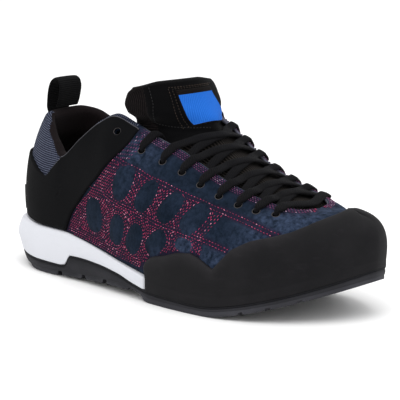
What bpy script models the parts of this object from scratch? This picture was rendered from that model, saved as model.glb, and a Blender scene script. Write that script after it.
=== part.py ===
"""Approach shoe for the right foot, standing empty on its sole.

Lengths are in millimetres until a mesh is made, where MM turns them into metres and
ORIGIN moves the middle of the sole's ground plane to zero. In the shoe's own axes x runs
from the heel to the toe, y to the inner (medial) side and z up. A place on the upper is
(s, t): s counts the sections of UPPER_SECTIONS from the heel, positive on the outer
(lateral) side and negative on the inner one, and t runs from the sole line, 0, to the
top line, 1.
"""

import math

import bmesh
import bpy
import numpy as np

MM = 0.001
ORIGIN = np.array([134.38, -2.79, 0.0])
UP = np.array([0.0, 0.0, 1.0])

# driving sizes
GAP = 0.3
FACET_GAP = 0.65
UPPER_WALL = 2.0
COLLAR_PAD = 7.0
SADDLE_LIFT = 0.8
SADDLE_WALL = 1.2
PATCH_WALL = 1.4
RAND_WALL = 2.7
INSOLE_THICK = 4.0
TONGUE_WALL = 3.0
TONGUE_PAD = 7.5
TONGUE_SINK = 1.5
LABEL_WALL = 0.8
LABEL_LIFT = 0.9
LOOP_WIDTH = 20.0
LOOP_WALL = 1.5
LACE_WIDTH = 4.8
LACE_THICK = 1.8
EYELET_RADIUS = 2.1
TOE_SPRING = 26.0
SPRING_START = 188.0
SPRING_LENGTH = 90.0
SPRING_POWER = 1.5
HEEL_BEVEL = 5.0
HEEL_BEVEL_LENGTH = 16.0
SLAB = 5.0
LUG_DEPTH = 3.2
LUG_INSET = 2.2
TREAD_INSET = 0.8
HEEL_PAD_END = 8.4
MIDSOLE_TUCK = 3.0
LINER_EASE = 0.5
LACE_START = 3.2
EYELET_SIDES = 8
EYELET_REACH = 4.0

# Where the rows of facets lie up a wall, closer towards its curved top.
WALL_ROWS = (0.0, 0.2, 0.4, 0.58, 0.74, 0.86, 0.94, 1.0)

# The upper's sections. b is the sole line and t the top line, l the outer side and m the
# inner one. lean is the wall's slope at the top line (90 is upright), flare its outward
# tilt at the sole line, and pull_low and pull_high say how far each tilt carries.
UPPER_COLUMNS = "bxl byl bxm bym bz txl tyl tzl txm tym tzm lean flare pull_low pull_high".split()
UPPER_SECTIONS = {
    "heel_back": (4, 0, 4, 0, 33, 21, 0, 104, 21, 0, 104, 58, 5, 0.40, 0.30),
    "heel_round": (7, -15, 7, 15, 33, 23, -14, 103, 23, 14, 104.5, 60, 5, 0.40, 0.30),
    "heel_side": (18, -26, 18, 26, 32, 33, -24, 97, 32, 25, 101.5, 68, 5, 0.38, 0.30),
    "ankle_back": (36, -33, 36, 31, 31, 44, -30, 88, 43, 29.5, 95, 78, 5, 0.36, 0.30),
    "collar_dip": (56, -36, 56, 32, 31, 56, -34, 81, 57, 31, 89, 84, 5, 0.36, 0.30),
    "ankle_front": (77, -38, 76, 30, 28, 73, -33, 94, 74, 32, 98, 78, 6, 0.36, 0.30),
    "instep_back": (97, -41, 95, 30, 24.5, 86, -29, 105, 90, 31, 109, 68, 8, 0.38, 0.30),
    "hump": (115, -44, 112, 32, 21, 97, -25, 110, 104, 29.5, 114, 56, 9, 0.38, 0.30),
    "throat_1": (131, -46, 129, 35, 18, 110, -22, 105, 120, 29.5, 112, 48, 10, 0.40, 0.30),
    "throat_2": (147, -48.5, 146, 38, 15.5, 128, -20, 97, 136, 29, 106.5, 44, 10, 0.40, 0.30),
    "throat_3": (163, -50, 164, 41, 14, 146, -19, 91, 150, 28, 98.5, 40, 10, 0.42, 0.30),
    "throat_4": (179, -50.5, 182, 43, 13.5, 164, -18.5, 83, 164, 27, 89.5, 36, 10, 0.42, 0.30),
    "throat_5": (194, -50, 199, 44, 14, 183, -18, 75.5, 181, 26, 79.5, 32, 10, 0.42, 0.30),
    "throat_6": (207, -47.5, 214, 44, 15.5, 202, -17, 69.5, 201, 24.5, 72, 26, 10, 0.44, 0.34),
    "throat_7": (218, -44, 227, 42.5, 18, 218, -14, 65.5, 219, 22, 67.5, 18, 9, 0.46, 0.38),
    "throat_turn": (229, -38.5, 237, 39.5, 21, 229, -8, 63.5, 231.5, 15, 64.3, 10, 8, 0.48, 0.44),
    "vamp": (240, -31, 246.5, 35.5, 25, 234, 4.5, 62.8, 234, 4.5, 62.8, 3, 7, 0.52, 0.50),
    "toe_1": (250, -22.5, 255.5, 30.5, 29, 242, 7, 62.4, 242, 7, 62.4, 3, 6, 0.53, 0.50),
    "toe_2": (259, -12.5, 263.5, 24.5, 32.5, 249, 9, 61.8, 249, 9, 61.8, 5, 6, 0.53, 0.50),
    "toe_3": (266.5, -1.5, 269, 17.5, 35.5, 254.5, 10.5, 60.6, 254.5, 10.5, 60.6, 9, 6, 0.53, 0.50),
    "toe_tip": (270.5, 9, 270.5, 9, 37, 258, 11, 59, 258, 11, 59, 13, 6, 0.53, 0.50),
}
UPPER = dict(zip(UPPER_COLUMNS, np.array(list(UPPER_SECTIONS.values()), float).T))
TIP = len(UPPER_SECTIONS) - 1
VAMP = list(UPPER_SECTIONS).index("vamp")
HUMP = list(UPPER_SECTIONS).index("hump")

# The punched holes of the lacing: section, and distance below the top line. The first
# one, in the saddle, is empty, the last one carries the front bar.
EYELETS = [
    (7.40, 12.1), (8.60, 13.8), (9.50, 13.4), (10.35, 13.0), (11.15, 12.9),
    (11.90, 12.8), (12.60, 12.2), (13.30, 11.2), (14.05, 9.2),
]

# The sole beside the sections: how far it stands out at the midsole's top edge and at
# its widest line, the height of that line, and the height of the rubber side.
SOLE_COLUMNS = "s top_out wide_out wide_z rubber".split()
SOLE_SIDE = [
    (0.0, 4.0, 9.5, 21.0, 19.0), (0.5, 4.0, 9.4, 21.0, 17.0), (1.0, 4.0, 9.1, 21.0, 11.0),
    (1.4, 3.6, 8.2, 20.5, 9.4), (2.0, 2.6, 6.0, 19.0, 9.0), (3.0, 1.6, 4.2, 17.0, 8.6),
    (4.0, 1.4, 3.4, 17.0, 8.4),
    (4.30, 1.4, 3.4, 18.0, 9.5), (4.55, 1.4, 3.2, 18.5, 16.0), (5.0, 1.4, 3.0, 18.0, 16.2),
    (6.0, 1.6, 2.8, 17.0, 15.4), (7.0, 2.0, 2.8, 15.0, 13.4), (8.0, 2.6, 3.0, 12.0, 9.6),
    (9.0, 3.0, 3.0, 9.0, 7.2), (12.0, 3.0, 3.0, 8.0, 6.2), (16.0, 3.0, 3.0, 20.0, 6.6),
    (20.0, 3.0, 3.0, 33.0, 8.4),
]
SOLE = dict(zip(SOLE_COLUMNS, np.array(SOLE_SIDE).T))

# The heel's undercut: how far its foot is set in below a height, and the sections over
# which that fades out along the sides.
HEEL_TUCK = 7.0
HEEL_TUCK_TOP = 21.0
HEEL_TUCK_FULL = 0.8
HEEL_TUCK_FADE = 2.2

# Cuts across the underside: where each begins and ends, and its depth.
SOLE_CUTS = [
    (53.5, 57.0, LUG_DEPTH), (76.5, 80.0, LUG_DEPTH), (98.5, 102.0, LUG_DEPTH), (124.0, 139.0, 1.6),
    (214.0, 216.5, 1.6), (229.0, 231.5, 1.6), (244.0, 246.5, 1.6),
]

# The arch: how far the underside rises between the heel and the ball.
ARCH = [(-10, 0), (42, 0), (60, 1.4), (80, 2.3), (110, 3.8), (124, 4.0), (136, 2.2), (146, 0), (290, 0)]

# The rand: the section where it begins on both sides, and its upper edge as (s, t).
RAND_START = 8.72
RAND_CLOSED = 18.125
RAND_EDGE = [
    (8.72, 0.07), (8.9, 0.11), (9.25, 0.15), (9.95, 0.185), (10.6, 0.235), (11.2, 0.262), (11.55, 0.25),
    (12.25, 0.19), (12.6, 0.27), (13.0, 0.37), (13.7, 0.47), (14.8, 0.545), (15.9, 0.58),
    (16.5, 0.67), (17.15, 0.785), (17.6, 0.88), (18.125, 1.0),
]

# The saddle: how far forward its front edge stands, as (share of its height, section),
# and its upper edge behind the ankle, as (section, height).
SADDLE_FRONT = [
    (0.0, 4.25), (0.24, 4.62), (0.34, 4.94), (0.44, 5.4), (0.57, 6.5), (0.66, 7.2), (0.76, 7.75),
    (0.88, 8.12), (1.0, 8.25),
]
SADDLE_TOP = [(0.0, 79.0), (1.0, 77.0), (2.0, 71.0), (3.0, 64.5), (3.45, 72.0), (4.0, 79.0)]
SADDLE_RIM = 2.2
SADDLE_FOOT = 0.012

# The tongue between the laces: section, then the crest. Above it: five points across.
TONGUE_LACED = [
    (16.3, 240.0, 4.5, 58.5), (15.6, 232.5, 4.5, 60.5), (14.8, 225.0, 4.0, 63.5), (14.0, 216.5, 4.0, 66.5),
    (13.0, 201.5, 4.0, 72.0), (12.0, 184.0, 4.5, 79.5), (11.0, 167.5, 5.0, 88.5), (10.0, 155.0, 6.0, 97.0),
    (9.2, 149.5, 7.0, 103.5),
]
TONGUE_WING_T = 0.84
TONGUE_EDGE_T = 0.985
TONGUE_FREE = [
    [(104, -16.5, 104), (121, -13, 103.5), (147, 8, 107), (135, 23, 108), (113, 22, 108)],
    [(105.5, -26.5, 111), (124.5, -18, 112), (142.5, 8, 114), (137, 25.5, 114), (112, 30, 117)],
    [(106, -29, 117), (125, -17, 119), (139, 8, 121), (134, 26.5, 121), (112, 34, 122)],
    [(108.5, -28.5, 123), (124, -16, 127), (136, 8, 128), (131, 25.5, 127), (114, 33.5, 126)],
    [(111.5, -26.5, 127), (123.5, -15.5, 131.5), (133, 8, 133.3), (128, 23.5, 130.5), (117, 31, 128.5)],
]
TONGUE_ACROSS = (-1.0, -0.6, 0.0, 0.6, 1.0)

# The label on the tongue: its lower and upper ends as (share along, first and last across).
LABEL_ENDS = [(0.65, -0.26, 0.48), (0.9, -0.41, 0.19)]

# The pull loop's middle line: where it lies on the heel, as shares of the section's height,
# and then its free part as (x, z), which ends on the collar's rim.
LOOP_FOOT = (0.8, 0.87, 0.94)
LOOP_FREE = [
    (17.1, 105.0), (17.6, 111.0), (18.6, 116.5), (21.0, 121.8), (24.8, 124.2), (28.2, 122.4), (29.4, 118.2),
    (28.3, 112.8), (25.8, 108.6), (23.8, 106.2),
]
LOOP_CUP = 0.8

# A lace strand over the tongue: share of the way to the next hole, place across the tongue
# on the side of its own hole, and clearance over the tongue.
LACE_ACROSS = [(0.34, -0.36, 1.3), (0.46, -0.18, 1.2), (0.58, 0.0, 1.2), (0.72, 0.22, 1.2), (0.86, 0.42, 0.9)]


def smooth(knots, values, at):
    """A monotone cubic through the knots: it never swings past a value that it is given."""
    knots, values, at = (np.asarray(a, float) for a in (knots, values, at))
    step = np.diff(knots)
    rise = np.diff(values) / step
    slope = np.zeros_like(values)
    near, far = 2 * step[1:] + step[:-1], step[1:] + 2 * step[:-1]
    turning = rise[:-1] * rise[1:] <= 0
    before, after = (np.where(turning, 1.0, side) for side in (rise[:-1], rise[1:]))
    slope[1:-1] = np.where(turning, 0.0, (near + far) / (near / before + far / after))
    slope[0], slope[-1] = rise[0], rise[-1]
    i = np.clip(np.searchsorted(knots, at, side="right") - 1, 0, len(step) - 1)
    u = np.clip((at - knots[i]) / step[i], 0.0, 1.0)
    return (
        (1 + 2 * u) * (1 - u) ** 2 * values[i]
        + u * (1 - u) ** 2 * step[i] * slope[i]
        + u * u * (3 - 2 * u) * values[i + 1]
        + u * u * (u - 1) * step[i] * slope[i + 1]
    )


def curve(points, at):
    """A smooth curve through points, spaced by the distance between them; at runs from 0 to 1."""
    points = np.asarray(points, float)
    far = np.concatenate([[0.0], np.cumsum(np.linalg.norm(np.diff(points, axis=0), axis=1))])
    return np.stack([smooth(far / far[-1], column, at) for column in points.T], -1)


def around(lateral, medial, s):
    """A column read round the whole shoe, smooth over the heel and the toe."""
    past = lateral[TIP - 1:TIP - 3:-1], medial[TIP - 1:TIP - 3:-1]
    values = np.concatenate([past[0][::-1], medial[:0:-1], lateral, past[1]])
    return smooth(np.arange(-TIP - 2, TIP + 3), values, s)


def sole_line(s):
    """Points where the upper meets the sole."""
    sides = ("bxl", "bxm"), ("byl", "bym"), ("bz", "bz")
    return np.stack([around(UPPER[outer], UPPER[inner], s) for outer, inner in sides], -1)


def top_line(s):
    """Points of the collar, the throat's edges and, past the vamp, the ridge of the toe."""
    columns = []
    for c in "xyz":
        edge = around(UPPER[f"t{c}l"], UPPER[f"t{c}m"], s)
        ridge = smooth(np.arange(VAMP, TIP + 1), UPPER[f"t{c}l"][VAMP:], np.clip(np.abs(s), VAMP, TIP))
        columns.append(np.where(np.abs(s) >= VAMP, ridge, edge))
    return np.stack(columns, -1)


def outward(s):
    """Level unit vectors that point away from the shoe, square to the sole line."""
    reach = 0.02
    along = sole_line(np.clip(s + reach, -TIP, TIP)) - sole_line(np.clip(s - reach, -TIP, TIP))
    level = np.stack([along[..., 1], -along[..., 0], 0 * along[..., 0]], -1)
    level[np.abs(s) >= TIP - reach] = (1.0, 0.0, 0.0)
    return level / np.linalg.norm(level, axis=-1, keepdims=True)


def section_value(column, s):
    """A column that both sides share, read at each section."""
    return smooth(np.arange(TIP + 1), UPPER[column], np.abs(s))[..., None]


def upper_face(s, t):
    """The upper's outer face: in each section a cubic from the sole line to the top line."""
    s, t = np.broadcast_arrays(np.asarray(s, float), np.asarray(t, float))
    low, high, out = sole_line(s), top_line(s), outward(s)
    lean, flare = (np.radians(section_value(column, s)) for column in ("lean", "flare"))
    chord = np.linalg.norm(high - low, axis=-1, keepdims=True)
    low_pull = low + chord * section_value("pull_low", s) * (out * np.sin(flare) + UP * np.cos(flare))
    high_pull = high + chord * section_value("pull_high", s) * (out * np.cos(lean) - UP * np.sin(lean))
    u = t[..., None]
    near_low = (1 - u) ** 3 * low + 3 * (1 - u) ** 2 * u * low_pull
    return near_low + 3 * (1 - u) * u * u * high_pull + u**3 * high


def face_normal(s, t):
    """Unit normals of one side's face."""
    reach = 0.01
    along = upper_face(np.clip(s + reach, -TIP, TIP), t) - upper_face(np.clip(s - reach, -TIP, TIP), t)
    rising = upper_face(s, np.clip(t + reach, 0, 1)) - upper_face(s, np.clip(t - reach, 0, 1))
    normal = np.cross(along, rising)
    return normal / np.maximum(np.linalg.norm(normal, axis=-1, keepdims=True), 1e-9)


def upper_normal(s, t):
    """Unit normals of the upper. The two sides share one normal along the toe's ridge and at
    the tip, where the sections run together and have none of their own."""
    s, t = np.broadcast_arrays(np.asarray(s, float), np.asarray(t, float))
    side = np.where(s < 0, -1.0, 1.0)
    near = np.minimum(np.abs(s), TIP - 1)
    top = np.ones_like(t)
    ridge = face_normal(near, top) + face_normal(-near, top)
    other = np.maximum(np.abs(s) - near, 0)[..., None] / 2
    normal = (1 - other) * face_normal(side * near, t) + other * face_normal(-side * near, t)
    share = np.where(np.abs(s) >= VAMP, np.clip((t - 0.8) / 0.2, 0, 1), 0.0)[..., None]
    normal = (1 - share) * normal + share * ridge
    return normal / np.linalg.norm(normal, axis=-1, keepdims=True)


def upper_point(s, t, lift=0.0):
    """A point at a height of lift over the upper's outer face."""
    s, t, lift = np.broadcast_arrays(*(np.asarray(a, float) for a in (s, t, lift)))
    return upper_face(s, t) + upper_normal(s, t) * lift[..., None]


def upper_wall(s, t):
    """The upper's thickness: thin below, padded round the collar and down to the throat."""
    near_heel = np.sqrt(np.clip(1.15 - np.abs(s) / (HUMP + 1.5), 0, 1))
    return UPPER_WALL + (COLLAR_PAD - UPPER_WALL) * near_heel * np.clip((t - 0.35) / 0.4, 0, 1)


def t_at_height(s, height):
    """The t at which each section of the upper reaches a height."""
    samples = np.linspace(0, 1, 81)
    rows = [upper_face(np.full(samples.shape, one), samples)[:, 2] for one in s]
    return np.array([np.interp(h, np.maximum.accumulate(z), samples) for h, z in zip(height, rows)])


def t_below_top(s, distance):
    """The t at a distance along the face below the top line."""
    samples = np.linspace(1, 0.4, 61)
    face = upper_face(np.full(samples.shape, s), samples)
    run = np.concatenate([[0.0], np.cumsum(np.linalg.norm(np.diff(face, axis=0), axis=1))])
    return float(np.interp(distance, run, samples))


def end_rise(x):
    """How far the sole's ends leave the ground: a short bevel at the heel, the spring at the toe."""
    spring = TOE_SPRING * (np.clip(x - SPRING_START, 0, None) / SPRING_LENGTH) ** SPRING_POWER
    bevel = HEEL_BEVEL * (np.clip(HEEL_BEVEL_LENGTH - x, 0, None) / HEEL_BEVEL_LENGTH) ** 2
    return spring + bevel


def floor_height(x):
    """Underside of the sole, with its arch."""
    return end_rise(x) + smooth(*zip(*ARCH), x)


def sole_value(column, s):
    """One column of the sole's side, read at each section."""
    return smooth(SOLE["s"], SOLE[column], np.abs(s))


def perimeter(per_side, extra=()):
    """s values round the shoe: heel, outer side, tip, inner side, the two sides alike."""
    side = np.unique(np.concatenate([np.linspace(0, TIP, per_side), np.asarray(extra, float)]))
    return np.concatenate([side, -side[-2:0:-1]])


def heel_tuck(s, z):
    """How far the heel is set in at a height, growing evenly from its widest line downwards."""
    fade = np.clip((np.abs(s) - HEEL_TUCK_FULL) / HEEL_TUCK_FADE, 0, 1)
    return HEEL_TUCK * (1 - fade * fade * (3 - 2 * fade)) * np.clip(1 - z / HEEL_TUCK_TOP, 0, 1)


def offset_ring(s, reach, z):
    """Points round the shoe at a distance outside the sole line and at a height."""
    reach = np.broadcast_to(reach - heel_tuck(s, z), s.shape)
    points = sole_line(s) + outward(s) * reach[..., None]
    points[:, 2] = z
    return points


def mesh_from(name, points, faces):
    """A closed mesh in metres with its doubles merged and its faces pointing outwards."""
    mesh = bpy.data.meshes.new(name)
    placed = (np.asarray(points, float) - ORIGIN) * MM
    mesh.from_pydata([tuple(p) for p in placed], [], faces)
    work = bmesh.new()
    work.from_mesh(mesh)
    bmesh.ops.remove_doubles(work, verts=work.verts, dist=1e-6)
    bmesh.ops.dissolve_degenerate(work, edges=work.edges, dist=1e-7)
    bmesh.ops.recalc_face_normals(work, faces=work.faces)
    work.to_mesh(mesh)
    work.free()
    mesh.shade_smooth()
    mesh.set_sharp_from_angle(angle=math.radians(40))
    return mesh


def add_object(name, mesh, colour, roughness):
    """An object of the shoe with a material of its own."""
    material = bpy.data.materials.new(name)
    material.use_nodes = True
    shader = material.node_tree.nodes["Principled BSDF"]
    shader.inputs["Base Color"].default_value = (*colour, 1.0)
    shader.inputs["Roughness"].default_value = roughness
    shader.inputs["Metallic"].default_value = 0.0
    thing = bpy.data.objects.new(name, mesh)
    thing.data.materials.append(material)
    bpy.context.scene.collection.objects.link(thing)
    thing.parent = bpy.data.objects["shoe"]
    return thing


def shell(name, outer, inner, closed=False, welded=None):
    """A wall between two grids of points, whose rows run upwards and columns along.
    closed joins the last column to the first. welded marks the columns whose top meets its
    twin from the shoe's other side, where the wall has no edge."""
    rows, columns = outer.shape[:2]
    far = rows * columns
    spans = [(c, (c + 1) % columns) for c in range(columns if closed else columns - 1)]
    faces = []
    for r in range(rows - 1):
        for a, b in spans:
            quad = (r * columns + a, r * columns + b, (r + 1) * columns + b, (r + 1) * columns + a)
            faces += [quad, tuple(far + i for i in reversed(quad))]
    top = (rows - 1) * columns
    for a, b in spans:
        faces.append((far + a, far + b, b, a))
        if welded is None or not (welded[a] and welded[b]):
            faces.append((top + a, top + b, far + top + b, far + top + a))
    if not closed:
        for r in range(rows - 1):
            low, high = r * columns, (r + 1) * columns
            faces.append((low, high, far + high, far + low))
            low, high = low + columns - 1, high + columns - 1
            faces.append((far + low, far + high, high, low))
    return mesh_from(name, np.concatenate([outer.reshape(-1, 3), inner.reshape(-1, 3)]), faces)


def ring_solid(name, rings, across=2):
    """A closed solid from rings round the shoe. The first and last ring are closed by a cap
    that joins each point of the outer side to its twin on the inner side."""
    size = len(rings[0])
    half = size // 2
    points = [np.asarray(ring) for ring in rings]
    faces = [
        (r * size + c, r * size + (c + 1) % size, (r + 1) * size + (c + 1) % size, (r + 1) * size + c)
        for r in range(len(rings) - 1)
        for c in range(size)
    ]
    count = len(rings) * size
    for index in (0, len(rings) - 1):
        ring, base = points[index], index * size
        rows = [[base]]
        for i in range(1, half):
            shares = np.arange(1, across)[:, None] / across
            points.append(ring[i] + (ring[size - i] - ring[i]) * shares)
            rows.append([base + i, *range(count, count + across - 1), base + size - i])
            count += across - 1
        rows.append([base + half])
        for low, high in zip(rows, rows[1:]):
            for k in range(across):
                quad = [low[min(k, len(low) - 1)], low[min(k + 1, len(low) - 1)],
                        high[min(k + 1, len(high) - 1)], high[min(k, len(high) - 1)]]
                faces.append(tuple(dict.fromkeys(quad)))
    return mesh_from(name, np.concatenate(points), faces)


def strip_points(route, across, width, thick):
    """The four long edges of a flat strip along a route, which lies square to across."""
    along = np.gradient(route, axis=0)
    side = across - along * (np.sum(across * along, -1) / np.sum(along * along, -1))[:, None]
    side *= width / 2 / np.linalg.norm(side, axis=-1, keepdims=True)
    face = np.cross(along, side)
    face *= thick / 2 / np.linalg.norm(face, axis=-1, keepdims=True)
    return np.stack([route - side - face, route + side - face, route + side + face, route - side + face])


def strip(name, route, across, width, thick):
    """A closed flat strip along a route."""
    edges = strip_points(route, across, width, thick)
    count = len(route)
    faces = [
        (e * count + i, ((e + 1) % 4) * count + i, ((e + 1) % 4) * count + i + 1, e * count + i + 1)
        for e in range(4)
        for i in range(count - 1)
    ]
    faces += [tuple(e * count for e in (3, 2, 1, 0)), tuple(e * count + count - 1 for e in range(4))]
    return mesh_from(name, edges.reshape(-1, 3), faces)


def add_boolean(thing, other, operation):
    cut = thing.modifiers.new(operation.lower(), "BOOLEAN")
    cut.operation = operation
    cut.solver = "EXACT"
    cut.object = other


def hide_guide(guide):
    guide.hide_render = True
    guide.display_type = "WIRE"


def build_eyelet_cutter():
    """Short rods square to the upper's face, one for each punched eyelet."""
    points, faces = [], []
    for side in (1, -1):
        for section, inset in EYELETS:
            s = side * section
            t = t_below_top(s, inset)
            normal = upper_normal(s, t)
            first = np.cross(normal, UP)
            first /= np.linalg.norm(first)
            second = np.cross(normal, first)
            angle = 2 * np.pi * (np.arange(EYELET_SIDES) + 0.5) / EYELET_SIDES
            ring = EYELET_RADIUS * (np.cos(angle)[:, None] * first + np.sin(angle)[:, None] * second)
            base = len(points)
            for depth in (-COLLAR_PAD - UPPER_WALL, EYELET_REACH):
                points += list(upper_point(s, t, depth) + ring)
            far = base + EYELET_SIDES
            faces.append(tuple(range(base, far)))
            faces.append(tuple(range(far + EYELET_SIDES - 1, far - 1, -1)))
            faces += [(base + k, base + (k + 1) % EYELET_SIDES, far + (k + 1) % EYELET_SIDES, far + k)
                      for k in range(EYELET_SIDES)]
    cutter = add_object("eyelet_cutter", mesh_from("eyelet_cutter", points, faces), (0.5, 0.5, 0.5), 0.5)
    hide_guide(cutter)
    return cutter


def build_upper(cutter):
    """The hollow upper: one wall, open along the sole, at the collar and down the throat."""
    s = perimeter(33, extra=(VAMP,))
    t = np.array(WALL_ROWS)[:, None]
    outer = upper_point(s, t)
    inner = upper_point(s, t, -upper_wall(s[None, :], t))
    mesh = shell("upper", outer, inner, closed=True, welded=np.abs(s) >= VAMP)
    thing = add_object("upper", mesh, (0.055, 0.075, 0.12), 0.9)
    add_boolean(thing, cutter, "DIFFERENCE")


def saddle_place(a, b):
    """(s, t) on the saddle: a from one front edge over the heel to the other, b upwards."""
    sections, heights = zip(*SADDLE_TOP)
    shares, reach = zip(*SADDLE_FRONT)
    s = a * smooth(shares, reach, b)
    rim = top_line(s)[..., 2] - SADDLE_RIM
    behind = np.abs(s) < sections[-1]
    height = np.minimum(np.where(behind, smooth(sections, heights, np.abs(s)), rim), rim)
    return s, SADDLE_FOOT + (t_at_height(s, height) - SADDLE_FOOT) * b


def build_saddle(cutter):
    """Black overlay round the heel that rises on both sides to the top eyelet."""
    a = np.linspace(-1, 1, 33)
    places = [saddle_place(a, np.full(a.shape, b)) for b in WALL_ROWS]
    outer = np.array([upper_point(s, t, SADDLE_LIFT + SADDLE_WALL) for s, t in places])
    inner = np.array([upper_point(s, t, SADDLE_LIFT) for s, t in places])
    thing = add_object("heel_saddle", shell("heel_saddle", outer, inner), (0.012, 0.012, 0.013), 0.6)
    add_boolean(thing, cutter, "DIFFERENCE")


def build_heel_patch():
    """Small raised plate low on the back of the heel."""
    s = np.linspace(-1.15, 1.15, 9)
    t = np.linspace(0.03, 0.24, 4)[:, None]
    lift = SADDLE_LIFT + SADDLE_WALL + GAP
    mesh = shell("heel_patch", upper_point(s, t, lift + PATCH_WALL), upper_point(s, t, lift))
    add_object("heel_patch", mesh, (0.01, 0.01, 0.011), 0.45)


def build_rand():
    """Rubber rand round the forefoot: the toe cap and both side lobes in one piece."""
    sections, shares = zip(*RAND_EDGE)
    side = np.array([8.72, 8.9, 9.375, 10.0, 10.625, 11.25, 11.6, 12.25, 12.7, 13.125, 13.75, 14.375, 15.0,
                     15.625, 16.25, 16.875, 17.5, 18.125, 18.75, 19.375, 20.0])
    s = np.concatenate([side, -side[-2::-1]])
    top = np.interp(np.abs(s), sections, shares)

    def wall(lift):
        foot = offset_ring(s, lift, end_rise(sole_line(s)[:, 0]) + sole_value("rubber", s) + GAP)
        rows = [upper_point(s, top * share, lift) for share in WALL_ROWS]
        foot[:, 2] = np.minimum(foot[:, 2], rows[0][:, 2] - 1.0)
        return np.array([foot, *rows])

    mesh = shell("rand", wall(FACET_GAP + RAND_WALL), wall(FACET_GAP), welded=np.abs(s) >= RAND_CLOSED)
    add_object("rand", mesh, (0.016, 0.016, 0.017), 0.5)


def build_midsole():
    """White foam midsole: a dished wedge that flares at the heel and goes on under the rand."""
    s = perimeter(29, extra=(4.30, 4.55, 8.35, 8.5))
    x, line_z = sole_line(s)[:, 0], sole_line(s)[:, 2]
    shown = np.abs(s) < RAND_START - 0.15
    top_out = np.where(shown, sole_value("top_out", s), -GAP)
    wide_out = np.where(shown, sole_value("wide_out", s), -GAP)
    rubber = end_rise(x) + sole_value("rubber", s) + GAP
    slab = np.minimum(floor_height(x) + SLAB + GAP, rubber - 0.1)
    top = line_z - GAP
    share = np.clip((sole_value("wide_z", s) - rubber) / (top - rubber), 0.3, 0.7)
    tuck = wide_out - MIDSOLE_TUCK
    rings = [
        offset_ring(s, tuck - 1.0, slab),
        offset_ring(s, tuck, np.minimum(slab + 0.4, rubber - 0.05)),
        offset_ring(s, tuck, rubber),
        offset_ring(s, wide_out - 0.4, rubber),
        offset_ring(s, wide_out, rubber + (top - rubber) * share),
        offset_ring(s, top_out + 0.3 * (wide_out - top_out), top - 1.5),
        offset_ring(s, top_out - 0.8, top),
    ]
    add_object("midsole", ring_solid("midsole", rings), (0.87, 0.88, 0.9), 0.55)


def build_sole_cutter():
    """Bars across the underside: the gaps between the heel's lugs, the arch and the toe's tread."""
    points, faces = [], []
    for start, end, depth in SOLE_CUTS:
        base = len(points)
        for x in (start, end):
            roof = floor_height(x) + depth
            points += [(x, y, z) for y, z in ((-70, -3), (70, -3), (70, roof), (-70, roof))]
        faces += [tuple(base + i for i in face) for face in
                  ((0, 1, 2, 3), (7, 6, 5, 4), (0, 4, 5, 1), (1, 5, 6, 2), (2, 6, 7, 3), (3, 7, 4, 0))]
    cutter = add_object("sole_cutter", mesh_from("sole_cutter", points, faces), (0.5, 0.5, 0.5), 0.5)
    hide_guide(cutter)
    return cutter


def build_outsole():
    """Black rubber outsole: a slab with a raised side and, at the heel, lugs set in below it."""
    s = perimeter(29, extra=(4.30, 4.55, 8.3))
    x = sole_line(s)[:, 0]
    reach = sole_value("wide_out", s)
    floor = floor_height(x)
    rubber = end_rise(x) + sole_value("rubber", s)
    inset = np.where(np.abs(s) < HEEL_PAD_END, LUG_INSET, TREAD_INSET)
    rings = [
        offset_ring(s, reach - inset - 0.6, floor),
        offset_ring(s, reach - inset, floor + 0.8),
        offset_ring(s, reach - inset, floor + LUG_DEPTH),
        offset_ring(s, reach - 0.5, floor + LUG_DEPTH + 0.3),
        offset_ring(s, reach - 0.2, rubber - 0.8),
        offset_ring(s, reach - 0.6, rubber),
        offset_ring(s, reach - 2.2, rubber),
        offset_ring(s, reach - 2.5, np.minimum(floor + SLAB + 0.3, rubber - 0.3)),
        offset_ring(s, reach - 3.4, np.minimum(floor + SLAB, rubber - 0.6)),
    ]
    thing = add_object("outsole", ring_solid("outsole", rings), (0.02, 0.02, 0.022), 0.6)
    add_boolean(thing, build_sole_cutter(), "DIFFERENCE")


def build_insole():
    """Sock liner that lies on the midsole inside the upper."""
    s = perimeter(21)
    height = sole_line(s)[:, 2]
    reach = -(UPPER_WALL + GAP + LINER_EASE)
    rings = [
        offset_ring(s, reach - 1.5, height + 0.5),
        offset_ring(s, reach, height + 1.0),
        offset_ring(s, reach, height + INSOLE_THICK - 0.6),
        offset_ring(s, reach - 1.5, height + INSOLE_THICK),
    ]
    add_object("insole", ring_solid("insole", rings), (0.03, 0.03, 0.032), 0.9)


def tongue_guides():
    """Five points across the tongue in each of its rows, from the vamp to the top."""
    rows = []
    for s, *crest in TONGUE_LACED:
        row = [np.array(crest)]
        for side in (1, -1):
            pair = [upper_point(side * s, t, -upper_wall(s, t) - TONGUE_SINK)
                    for t in (TONGUE_WING_T, TONGUE_EDGE_T)]
            row = pair + row if side == 1 else row + pair[::-1]
        rows.append(row)
    return np.array(rows + [[np.array(p, float) for p in row] for row in TONGUE_FREE])


GUIDES = tongue_guides()
GUIDE_ALONG = np.linspace(0, 1, len(GUIDES))


def tongue_face(a, b):
    """The tongue's outer face: a across it, from -1 to 1, and b along it, from the vamp up."""
    a, b = np.broadcast_arrays(np.asarray(a, float), np.asarray(b, float))
    points = []
    for one_a, one_b in zip(a.ravel(), b.ravel()):
        row = [[smooth(GUIDE_ALONG, GUIDES[:, k, c], one_b) for k in range(len(TONGUE_ACROSS))]
               for c in range(3)]
        points.append([smooth(TONGUE_ACROSS, values, one_a) for values in row])
    return np.array(points).reshape(*a.shape, 3)


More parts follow.
